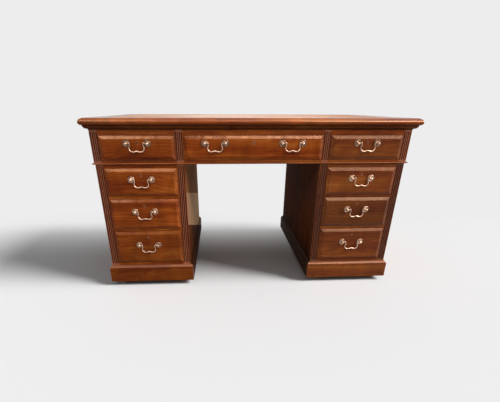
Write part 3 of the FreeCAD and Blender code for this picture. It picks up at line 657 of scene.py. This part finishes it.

# %% [markdown]
# Top edge and base moulding
# Hands and dusters keep two places shiny: the upper part of the thumb edge round the top, more so
# towards the right, and the slope on the plinth, which also gets a painted highlight. Painted shade
# darkens the thumb edge below and at its left end. Heights are measured down from the highest point of
# the piece, so the masks follow its size.

# %% Bright edges
thumb_start, thumb_end, thumb_shine = 0.0015, 0.013, 1.1
thumb_high, thumb_low, thumb_shade = 0.008, 0.022, 0.6
dull_end, left_end_shade, left_end_shade_reach = 0.4, 0.7, 0.6
slope_height, slope_highlight, slope_shine = 0.0115, 0.15, 0.5

def thumb_edge(place, colour):
    """The colour of the top with painted shade on its edge, and where that edge shines brighter."""
    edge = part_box("desk_top")[1]
    upper = inside(place[2], edge.z - thumb_end, edge.z - thumb_start)
    bright = times(upper, spread(place[0], -edge.x, edge.x, dull_end, 1.0))
    # Painted shade under the thumb edge and at its left end.
    under_shade = spread(place[2], edge.z - thumb_low, edge.z - thumb_high, thumb_shade, 1.0)
    at_end = spread(place[0], -edge.x, -edge.x * left_end_shade_reach, left_end_shade, 1.0)
    return dimmed(colour, times(under_shade, at_end)), bright


def plinth_slope(place, colour, inner, node):
    """The colour of a plinth with a painted highlight on its slope, and where that slope is."""
    slope = above(place[2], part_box(node)[1].z - slope_height)
    bright = times(slope, minus(1.0, inner))
    return blend(times(bright, slope_highlight), colour, highlight_pink), bright


print("thumb edge bright from %.1f to %.1f mm down" % (thumb_start * 1000, thumb_end * 1000))

# %% [markdown]
# The finish of each board
# Some pieces of the carcase are darker than others, and some shine more. Two lists hold what differs,
# and one function puts figure, painted shade, lining and polish together. A tone scales a board's colour
# and keeps its hue. Most tones are painted light and shade: the quarter round and the frieze frame are
# darker for the shadow of the top, the plinths, the right pedestal frame and most drawers are darker for
# the light that they miss, and the top is lighter.

# %% Polished mahogany
shine_of = {
    "desk_top": 0.12, "frieze_bead": 0.4, "frieze_frame": 0.2, "pedestal_sides": 0.06,
    "right_pedestal_frame": 0.2, "right_plinth": right_shine,
}
tone_light_and_shade_of = {
    "left_plinth": 0.66, "right_plinth": 0.66, "top_ovolo": 0.38, "frieze_frame": 0.9,
    "desk_top": 1.25, "right_pedestal_frame": 0.7,
    "drawer_right_upper": 0.68, "drawer_right_middle": 0.42, "drawer_right_lower": 0.66,
    "drawer_frieze_right": 0.6, "drawer_frieze_left": 0.9,
    "drawer_left_upper": 0.94, "drawer_left_lower": 0.74,
}
pale_nodes = ("desk_top", "frieze_bead")
dust_sheen = 1.0

def polished_mahogany(node, rule, board):
    """The finish of one piece of the carcase."""
    made, tree, shader = new_material(node + "_mahogany")
    place = parts_of(point_place(tree))
    figure = board_figure(rule(place), board, tone_light_and_shade_of.get(node, 1.0))
    # Painted shade in the corners and flutes, and painted shade and reflection on the lining.
    colour = painted_corner_shade(figure["Color"])
    if node in fluted_nodes:
        colour = flute_shade_and_highlight(place, colour, node)
    colour, rough, inner, film = kneehole_lining(place, colour, figure["Roughness"])
    second = {}
    if node == "desk_top":
        colour, bright = thumb_edge(place, colour)
        second = {"mask": bright, "mask_shine": thumb_shine}
    elif node == "pedestal_sides":
        second = {"mask": film, "mask_shine": plain_shine, "dust_and_highlight": dust_sheen}
    elif node.endswith("_plinth"):
        colour, bright = plinth_slope(place, colour, inner, node)
        second = {"mask": bright, "mask_shine": slope_shine}
    tint = pale_film if node in pale_nodes else amber_film
    polish(shader, colour, rough, figure, shine_of.get(node, plain_shine), tint, **second)
    return made


print("tones from", min(tone_light_and_shade_of.values()), "to", max(tone_light_and_shade_of.values()))

# %% [markdown]
# Rubbed and highlit edges
# No old edge is sharp. A worn edge is the palest part of a board, and here its pale finish is also a
# painted highlight. The pieces come as loose sharp triangles, so live modifiers join them, merge the flat
# ones, and bevel every edge that turns by more than a limit, with the paler finish on the bevel. The mesh
# below stays as it is. The quarter round under the top is left as it is cut.

# %% Rubbed and highlit edges
easing = (
    ("join_faces", "WELD", {"merge_threshold": 0.00002}),
    ("flat_faces", "DECIMATE", {"decimate_type": "DISSOLVE", "angle_limit": math.radians(0.3)}),
    ("eased_edges", "BEVEL", {
        "width": 0.0011, "segments": 2, "material": 1,
        "limit_method": "ANGLE", "angle_limit": math.radians(32),
    }),
    ("even_shading", "WEIGHTED_NORMAL", {"keep_sharp": True}),
)
rubbed_and_highlight_stops = [(0.38, (112, 54, 30)), (0.52, (164, 102, 70)), (0.68, (204, 150, 120))]
sharp_nodes = ("top_ovolo",)
board_step = 1.37
edge_finish = patchy_finish("rubbed_and_highlit_edge", 26.0, rubbed_and_highlight_stops, (0.22, 0.36), {"Specular IOR Level": 0.5})

def dress(node, finish):
    """Give a node one finish all over."""
    piece = nodes[node]
    piece.data.materials.clear()
    piece.data.materials.append(finish)
    return piece


def ease_edges(piece):
    """Join loose triangles into boards, and bevel their sharp edges with the worn and highlit finish."""
    piece.data.materials.append(edge_finish)
    for name, kind, settings in easing:
        modifier = piece.modifiers.new(name, kind)
        for field, value in settings.items():
            setattr(modifier, field, value)


for board, (node, rule) in enumerate(sorted(wood_rules.items())):
    piece = dress(node, polished_mahogany(node, rule, board * board_step))
    if node not in sharp_nodes:
        ease_edges(piece)
print("polished:", len(wood_rules), "nodes")

# %% [markdown]
# Oak and dovetails
# A drawer has a thick mahogany front and a box of pale oak, joined at the front corners by dovetails
# that show on the drawer's flank. The joint lies flush, so it is a change of timber and not of shape:
# the material paints oak tails into the edge of the front.

# %% Oak and dovetails
front_depth = 0.022
tail_reach, tail_pitch = 0.009, 0.024
tail_slope, tail_share = 0.28, 0.26
flank_skin = 0.0006
oak_stops = [(0.2, (112, 76, 42)), (0.55, (150, 108, 64)), (0.9, (182, 140, 92))]

def oak_colour(grain):
    """Plain aged oak: fine straight streaks and short dark flecks."""
    fleck = streaks(grain, 0.006, 0.0007, 1.0)
    figure = times_plus(fleck, 0.35, times(streaks(grain, 0.4, 0.006, 3.0), 0.65))
    return ramp(spread(figure, 0.33, 0.67), oak_stops)


def dovetails(place, low, high):
    """One on the oak tails that are let into both ends of a drawer front."""
    across = off_middle(place[0], (low.x + high.x) / 2)
    flank = above(across, (high.x - low.x) / 2 - flank_skin)
    into = minus(low.y + front_depth, place[1])
    rise = minus(place[2], low.z + tail_pitch / 2)
    from_tail = calc("PINGPONG", rise, tail_pitch / 2)
    half_tail = times_plus(into, tail_slope, tail_pitch * tail_share)
    return times(flank, inside(into, 0.0, tail_reach), below(from_tail, half_tail))


print("dovetails every %.0f mm" % (tail_pitch * 1000))

# %% [markdown]
# Drawers
# One material serves a whole drawer, and it tells front from box by how far back a point lies. The
# bevels round the raised field catch the light, most in their middle and in patches, so the second film
# goes there. Only bevels that face up or towards the light on the right get it.

# %% Drawer finish
bevel_middle, bevel_flat, bevel_half = 0.0048, 0.0015, 0.0042
bevel_tilt = 0.2
bevel_shine = 0.48
bevel_shine_of = {
    "drawer_frieze_left": 0.82, "drawer_frieze_centre": 0.64, "drawer_frieze_right": 0.4,
    "drawer_left_upper": 0.42, "drawer_right_upper": 0.34, "drawer_right_lower": 0.38,
}
oak_dullness = 0.3
first_drawer, drawer_step = 3.1, 2.17

def facing_parts(tree):
    """The direction that a surface faces, in three numbers."""
    return parts_of(add_node(tree, "ShaderNodeNewGeometry").outputs["Normal"])


def bright_bevels(place, low, wave):
    """How bright the bevels are: most in the middle, and in patches."""
    middle = spread(off_middle(place[1], low.y + bevel_middle), bevel_flat, bevel_half, 1.0, 0.0)
    facing = facing_parts(wave.id_data)
    lit = above(calc("ADD", facing[0], facing[2]), bevel_tilt)
    return times(spread(wave, 0.38, 0.58, 0.45, 1.0), middle, lit)


def drawer_finish(node, board):
    """Mahogany in front, oak behind."""
    low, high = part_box(node)
    made, tree, shader = new_material(node + "_timber")
    place = parts_of(point_place(tree))
    figure = board_figure(along(place, "x"), board, tone_light_and_shade_of.get(node, 1.0))
    box = above(place[1], low.y + front_depth)
    oak = larger(box, dovetails(place, low, high))
    # Painted shade in the corners of the mahogany front.
    colour = blend(oak, painted_corner_shade(figure["Color"]), oak_colour(along(place, "y")))
    rough = times_plus(oak, oak_dullness, figure["Roughness"])
    bright = bright_bevels(place, low, figure["Wave"])
    shine = right_shine if low.x > 0 else plain_shine
    level = bevel_shine_of.get(node, bevel_shine)
    polish(shader, colour, rough, figure, shine, amber_film, bright, level)
    return made


drawer_names = sorted(n for n in nodes if n.startswith("drawer_"))
for board, node in enumerate(drawer_names):
    ease_edges(dress(node, drawer_finish(node, first_drawer + board * drawer_step)))
print("drawers:", len(drawer_names))

# %% [markdown]
# Softwood inside
# What nobody sees is plain pine, left from the saw: runners, guides, partitions and the board under the
# leather. It is dull, with painted shade in its corners. Its lines run upright on boards that face the
# long sides, and from front to back on the rest.

# %% Softwood
pine_stops = [(0.3, (96, 66, 38)), (0.5, (128, 92, 56)), (0.72, (150, 114, 74))]
pine_facing = 0.7

def plain_pine():
    """Dull pine with darker summer lines."""
    made, tree, shader = new_material("plain_pine")
    place = parts_of(point_place(tree))
    standing = above(absolute(facing_parts(tree)[1]), pine_facing)
    line = streaks(pick_place(standing, along(place, "y"), upright(place)), 0.5, 0.004, 3.0, 0.2)
    # Painted shade in the corners.
    link_finish(shader, painted_corner_shade(ramp(line, pine_stops)), spread(line, 0.3, 0.7, 0.6, 0.75))
    return made


dress("inner_framing", plain_pine())
print("softwood on inner_framing")

# %% [markdown]
# Aged brass
# The handles, hinges and castors are cast brass, pale on the raised parts and brown in the hollows. A
# metal shows what is round it, so its colour is kept light, and the darker tone comes from corners and
# from patches of tarnish. The plates behind the posts are browner, and most keyhole plates have lost
# their shine, so each drawer's fittings get a finish of their own.

# %% Brass
brass_stops = [(0.32, (146, 110, 88)), (0.5, (197, 161, 138)), (0.7, (226, 198, 177))]
tarnish_brown = paint(84, 54, 34)
keyhole_brown = paint(118, 62, 30)
keyhole_reach, keyhole_share, bright_keyhole, keyhole_dullness = 0.013, 0.9, 0.15, 0.3
post_reach, frieze_share, plate_share = 0.0135, 0.65, 0.3
handle_hollow, castor_hollow = 0.010, 0.002

def plate_tarnish(place, node):
    """How brown the plates behind the posts are, and the keyhole plate in the middle."""
    low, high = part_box(node)
    middle = (low.x + high.x) / 2
    plate = above(parts_of(place)[1], low.y + post_reach)
    keyhole = inside(parts_of(place)[0], middle - keyhole_reach, middle + keyhole_reach)
    share = frieze_share if "frieze" in node else plate_share
    dark = bright_keyhole if "centre" in node else keyhole_share
    return times(plate, share), times(keyhole, dark)


def aged_brass(name, hollow_depth, node=None):
    """Pale worn brass with brown hollows, and darker plates on a drawer's fittings."""
    made, tree, shader = new_material(name, {"Metallic": 1.0})
    place = point_place(tree)
    patch = clouds(place, 120.0, 4.0)
    clean = spread(open_air(tree, hollow_depth), 0.35, 0.9)
    colour = blend(clean, tarnish_brown, ramp(patch, brass_stops))
    rough = spread(patch, 0.3, 0.7, 0.36, 0.22)
    if node:
        plate, keyhole = plate_tarnish(place, node)
        colour = blend(keyhole, blend(plate, colour, tarnish_brown), keyhole_brown)
        rough = times_plus(keyhole, keyhole_dullness, rough)
        tree.links.new(minus(1.0, keyhole), shader.inputs["Metallic"])
    link_finish(shader, colour, rough)
    return made


brass = aged_brass("aged_brass", handle_hollow)
castor_brass = aged_brass("castor_brass", castor_hollow)
brass_nodes = [n for n in nodes if n.startswith(("fittings_", "bail_", "castor_", "door_hinge"))]
brass_nodes += ["left_door_fittings", "right_door_fittings"]
for node in brass_nodes:
    if node.startswith("fittings_"):
        dress(node, aged_brass(node + "_brass", handle_hollow, node))
    else:
        dress(node, castor_brass if node.startswith("castor_") else brass)
print("brass on", len(brass_nodes), "nodes")

# %% [markdown]
# The leather
# The writing surface is a thin hide, glued to the board and pared down at its edges. A flat slab would
# look like card, so it is a fine grid that rolls down where it meets the border and lies a hair uneven
# in the middle, where elbows have pressed it.

# %% Leather sheet
leather_low, leather_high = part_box("writing_leather")
leather_size = leather_high - leather_low
leather_gap = 0.0004
roll_width, roll_drop = 0.004, 0.0008
grid_step = 0.006
press_depth, press_fade, press_per_metre = 0.00018, 0.06, 7
tooling_inset = 0.030
press_start = tooling_inset * 1.5

def leather_height(x, y, half_x, half_y):
    """How far the hide lies below its highest plane."""
    edge = min(half_x - abs(x), half_y - abs(y))
    roll = roll_drop * max(0.0, 1 - edge / roll_width) ** 2
    open_field = min(1.0, max(0.0, (edge - press_start) / press_fade))
    wear_and_reflection = 0.5 + 0.5 * noise.noise(Vector((x * press_per_metre, y * press_per_metre, 0.3)))
    return roll + wear_and_reflection * press_depth * open_field


def leather_sheet():
    """A closed thin sheet with a fine upper face."""
    half_x = leather_high.x - leather_gap
    half_y = leather_high.y - leather_gap
    columns = round(2 * half_x / grid_step)
    rows = round(2 * half_y / grid_step)
    made = bmesh.new()

    def row_of_points(j):
        y = -half_y + 2 * half_y * j / rows
        xs = [-half_x + 2 * half_x * i / columns for i in range(columns + 1)]
        return [made.verts.new((x, y, leather_high.z - leather_height(x, y, half_x, half_y))) for x in xs]

    top = [row_of_points(j) for j in range(rows + 1)]
    for j in range(rows):
        for i in range(columns):
            made.faces.new((top[j][i], top[j][i + 1], top[j + 1][i + 1], top[j + 1][i]))
    rim = top[0] + [row[-1] for row in top[1:]]
    rim += list(reversed(top[-1][:-1])) + [row[0] for row in reversed(top[1:-1])]
    low_rim = [made.verts.new((v.co.x, v.co.y, leather_low.z)) for v in rim]
    for a, b, c, d in zip(rim, rim[1:] + rim[:1], low_rim[1:] + low_rim[:1], low_rim):
        made.faces.new((d, c, b, a))
    made.faces.new(list(reversed(low_rim)))
    for face in made.faces:
        face.smooth = face.calc_center_median().z > leather_low.z
    mesh = bpy.data.meshes.new("leather")
    made.to_mesh(mesh)
    made.free()
    return add_object("leather", mesh)


leather = leather_sheet()
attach(leather, "carcase")
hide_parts("writing_leather")
print("leather faces:", len(leather.data.polygons))

# %% [markdown]
# Tan hide
# Old desk leather is polished by sleeves: small pebbles and slow patches of brown. A paler area towards
# the left is a painted reflection. The pebbles are too fine to model, so they are cells in the bump and a
# little painted shade in the creases. The pale area fades out from one place by distance.

# %% Tan hide
reflection_place, reflection_shape = (-0.3, 0.0, 0.0), (1.4, 2.4, 0.0)
pebbles_per_metre = 900.0
pebble_strength, pebble_depth = 0.25, 0.0003
hide_stops = [(0.1, (140, 80, 40)), (0.4, (172, 108, 60)), (0.75, (208, 158, 112))]

def tan_hide():
    """Polished hide with a paler area of painted reflection."""
    made, tree, shader = new_material("tan_hide", {"Specular IOR Level": 0.26})
    place = point_place(tree)
    pebble = result("ShaderNodeTexVoronoi", {"Vector": place, "Scale": pebbles_per_metre}, "Distance")
    # Painted reflection: paler near one place, and fading out by distance.
    far = length_of(move_place("MULTIPLY", move_place("SUBTRACT", place, reflection_place), reflection_shape))
    patch = times_plus(clouds(place, 5.0, 5.0), 0.4, 0.42)
    wear_and_reflection = times_plus(far, -0.3, patch)
    colour = dimmed(ramp(wear_and_reflection, hide_stops), spread(pebble, 0.0, 0.6, 1.0, 0.82))
    bump = bumped(pebble, pebble_strength, pebble_depth, invert=True)
    link_finish(shader, colour, spread(wear_and_reflection, 0.2, 0.6, 0.5, 0.32), bump)
    return made


leather.data.materials.append(tan_hide())
print("hide of %.3f by %.3f m" % (leather_size.x, leather_size.y))

# %% [markdown]
# Trees that make pieces
# Gilt marks and screws repeat, so geometry nodes make them. Each tree gets named inputs for its sizes,
# and its result is turned into a plain mesh, because copies that live only in a modifier are lost when
# the desk is exported.

# %% Helpers for geometry trees
def tree_with_inputs(name, labels, finish):
    """An empty geometry tree with sizes and a finish as inputs, and their identifiers."""
    tree = bpy.data.node_groups.new(name, "GeometryNodeTree")
    for way in ("INPUT", "OUTPUT"):
        tree.interface.new_socket("Geometry", in_out=way, socket_type="NodeSocketGeometry")
    keys = {}
    for label, kind in [(label, "Float") for label in labels] + [(finish, "Material")]:
        socket = tree.interface.new_socket(label, in_out="INPUT", socket_type="NodeSocket" + kind)
        keys[label] = socket.identifier
    return tree, keys


def end_tree(tree, geometry, finish):
    """Turn copies into mesh, give it its finish, and hand it out."""
    plain = result("GeometryNodeRealizeInstances", {0: geometry})
    finished = result("GeometryNodeSetMaterial", {0: plain, "Material": finish})
    add_node(tree, "NodeGroupOutput", {0: finished})


def run_tree(name, tree, keys, values, points=()):
    """A tree's result on some points, as a plain piece."""
    mesh = bpy.data.meshes.new(name + "_points")
    mesh.from_pydata([p for p, _ in points], [], [])
    if points:
        facing = mesh.attributes.new("facing", "FLOAT_VECTOR", "POINT")
        facing.data.foreach_set("vector", [c for _, way in points for c in way])
    carrier = add_object(name + "_carrier", mesh)
    modifier = carrier.modifiers.new("made_by_nodes", "NODES")
    modifier.node_group = tree
    for label, value in values.items():
        modifier[keys[label]] = value
    evaluated = carrier.evaluated_get(bpy.context.evaluated_depsgraph_get())
    made = bpy.data.meshes.new_from_object(evaluated)
    bpy.data.objects.remove(carrier)
    made.name = name
    return add_object(name, made)


print("node groups so far:", [group.name for group in bpy.data.node_groups])

# %% [markdown]
# Gilt tooling
# A bookbinder's wheel runs round the hide and leaves a band of gold leaf: a line on each side and small
# lozenges between them. Each mark could be modelled, but there are hundreds, so a tree of geometry nodes
# draws the lines along a rectangle and sets one lozenge at every step of it.

# %% Gilt border
line_width, leaf_thickness = 0.0013, 0.00012
band_half = 0.007
lozenge_size, lozenge_flat, lozenge_step = 0.0036, 0.0012, 0.0125
lozenge_stretch = (1.5, 0.9, 1.0)
gold_stops = [(0.34, (132, 84, 36)), (0.46, (206, 160, 82)), (0.7, (232, 196, 120))]

def rectangle(width, height):
    """A rectangular path."""
    return result("GeometryNodeCurvePrimitiveQuadrilateral", {"Width": width, "Height": height})


def gilt_line(given, offset):
    """A flat strip along the rectangle, moved in or out."""
    width = times_plus(offset, 2.0, given["Width"])
    depth = times_plus(offset, 2.0, given["Depth"])
    strip = rectangle(given["Line Width"], given["Leaf"])
    return result("GeometryNodeCurveToMesh", {0: rectangle(width, depth), 1: strip})


def gilt_marks(given):
    """Lozenges at even steps along the rectangle."""
    inputs = {0: rectangle(given["Width"], given["Depth"]), "Length": given["Step"]}
    steps = result("GeometryNodeCurveToPoints", inputs, mode="LENGTH")
    inputs = {"Vertices": 4, "Radius Bottom": given["Lozenge"], "Radius Top": lozenge_flat}
    mark = result("GeometryNodeMeshCone", {**inputs, "Depth": given["Leaf"]})
    tangent = {"Vector": steps.node.outputs["Tangent"]}
    turned = result("FunctionNodeAlignRotationToVector", tangent, axis="X")
    inputs = {0: steps, "Instance": mark, "Rotation": turned, "Scale": lozenge_stretch}
    return result("GeometryNodeInstanceOnPoints", inputs)


def gilt_tree():
    """The whole band: two lines and the lozenges between them."""
    labels = ("Width", "Depth", "Line Width", "Leaf", "Band", "Lozenge", "Step")
    tree, keys = tree_with_inputs("gilt_band", labels, "Gold")
    given = add_node(tree, "NodeGroupInput").outputs
    lines = [gilt_line(given, offset) for offset in (given["Band"], times(given["Band"], -1.0))]
    joined = add_node(tree, "GeometryNodeJoinGeometry")
    for part in lines + [gilt_marks(given)]:
        tree.links.new(part, joined.inputs[0])
    end_tree(tree, joined.outputs[0], given["Gold"])
    return tree, keys


gilt_nodes, gilt_keys = gilt_tree()
gilt = run_tree("gilt_tooling", gilt_nodes, gilt_keys, {
    "Width": leather_size.x - 2 * tooling_inset, "Depth": leather_size.y - 2 * tooling_inset,
    "Line Width": line_width, "Leaf": leaf_thickness, "Band": band_half,
    "Lozenge": lozenge_size, "Step": lozenge_step,
    "Gold": patchy_finish("gold_leaf", 220.0, gold_stops, (0.5, 0.3), {"Metallic": 0.8}),
})
gilt.data.transform(Matrix.Translation((0.0, 0.0, leather_high.z)))
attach(gilt, "carcase")
print("gilt faces:", len(gilt.data.polygons))

# %% [markdown]
# A slotted screw
# Brass screws hold hinges and locks. Each is a flat round head with a slot that stops at whatever angle
# the hand left it. One tree cuts the slot out of a head once, then sets a copy on every point it is
# given, turned at random but the same in every run.

# %% Screw tree
screw_radius, screw_height, screw_sides = 0.0022, 0.0008, 16
slot_width, slot_depth = 0.0006, 0.0004
turn_seed = 7

def screw_head(given):
    """A short cylinder with a slot cut across its top."""
    inputs = {"Vertices": screw_sides, "Radius": given["Radius"], "Depth": given["Height"]}
    head = result("GeometryNodeMeshCylinder", inputs)
    inputs = {0: times(given["Radius"], 3.0), 1: given["Slot Width"], 2: times(given["Slot Depth"], 2.0)}
    bar = result("GeometryNodeMeshCube", {"Size": result("ShaderNodeCombineXYZ", inputs)})
    top = result("ShaderNodeCombineXYZ", {2: times(given["Height"], 0.5)})
    raised = result("GeometryNodeTransform", {0: bar, "Translation": top})
    return result("GeometryNodeMeshBoolean", {0: head, 1: raised}, operation="DIFFERENCE")


def screw_rotation(tree):
    """Stand a screw on the way that its point faces, then turn it by a random angle."""
    facing = add_node(tree, "GeometryNodeInputNamedAttribute", {"Name": "facing"}, data_type="FLOAT_VECTOR")
    stand = result("FunctionNodeAlignRotationToVector", {"Vector": facing.outputs[0]}, axis="Z")
    angle = add_node(tree, "FunctionNodeRandomValue", {"Max": math.pi, "Seed": turn_seed}, data_type="FLOAT")
    inputs = {"Axis": (0.0, 0.0, 1.0), "Angle": next(o for o in angle.outputs if o.enabled)}
    turn = result("FunctionNodeAxisAngleToRotation", inputs)
    return result("FunctionNodeRotateRotation", {0: stand, 1: turn}, rotation_space="LOCAL")


def screw_tree():
    """Screws on points, each facing the way that its point says."""
    labels = ("Radius", "Height", "Slot Width", "Slot Depth")
    tree, keys = tree_with_inputs("slotted_screws", labels, "Brass")
    given = add_node(tree, "NodeGroupInput").outputs
    points = result("GeometryNodeMeshToPoints", {0: given["Geometry"]})
    inputs = {0: points, "Instance": screw_head(given), "Rotation": screw_rotation(tree)}
    end_tree(tree, result("GeometryNodeInstanceOnPoints", inputs), given["Brass"])
    return tree, keys


screw_nodes, screw_keys = screw_tree()
print("screw tree has", len(screw_nodes.nodes), "nodes")

# %% [markdown]
# Where the screws go
# A hinge leaf has three screws, the middle one set further in so that they don't split the wood along
# one line, and a drawer lock has four. Their places come from the boxes of doors and drawers. Each body
# gets one piece with all its screws, so that they move with the wood.

# %% Place the screws
hinge_length, hinge_inset, hinge_leaf, hinge_gap = 0.060, 0.070, 0.0009, 0.002
door_end_gap = 0.001
hinge_screw_proud, hinge_screw_back, hinge_screw_stagger = 0.00007, 0.008, 0.003
lock_half_width, lock_height, lock_depth, lock_top_drop = 0.028, 0.036, 0.009, 0.004
lock_screw_inset = 0.006

def hinge_screws(side, on_door):
    """Three screws on each of the two hinge leaves beside a door."""
    low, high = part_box(("left" if side < 0 else "right") + "_door")
    edge = low.x if side < 0 else high.x
    facing = side if on_door else -side
    leaf_face = edge + side * (hinge_leaf if on_door else hinge_gap - hinge_leaf)
    x = leaf_face + facing * (hinge_screw_proud - screw_height / 2)
    found = []
    for middle in (low.z - door_end_gap + hinge_inset, high.z + door_end_gap - hinge_inset):
        for step in (-1, 0, 1):
            y = high.y - hinge_screw_back + (hinge_screw_stagger if step else -hinge_screw_stagger)
            found.append(((x, y, middle + step * hinge_length / 3), (facing, 0, 0)))
    return found


def lock_screws(node):
    """Four screws at the corners of the lock behind a drawer front."""
    low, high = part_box(node)
    middle = (low.x + high.x) / 2
    y = low.y + front_depth + lock_depth + screw_height / 2
    top = high.z - lock_top_drop
    aside = lock_half_width - lock_screw_inset
    heights = (top - lock_screw_inset, top - lock_height + lock_screw_inset)
    return [((middle + s * aside, y, z), (0, 1, 0)) for s in (-1, 1) for z in heights]


screw_points = {
    "carcase": hinge_screws(-1, False) + hinge_screws(1, False),
    "left_door": hinge_screws(-1, True),
    "right_door": hinge_screws(1, True),
}
for node in drawer_names:
    screw_points[node] = lock_screws(node)
screw_values = {
    "Radius": screw_radius, "Height": screw_height,
    "Slot Width": slot_width, "Slot Depth": slot_depth, "Brass": brass,
}
for body, points in screw_points.items():
    screws = run_tree(body + "_screws", screw_nodes, screw_keys, screw_values, points)
    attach(screws, body)
print("screws:", sum(len(points) for points in screw_points.values()))
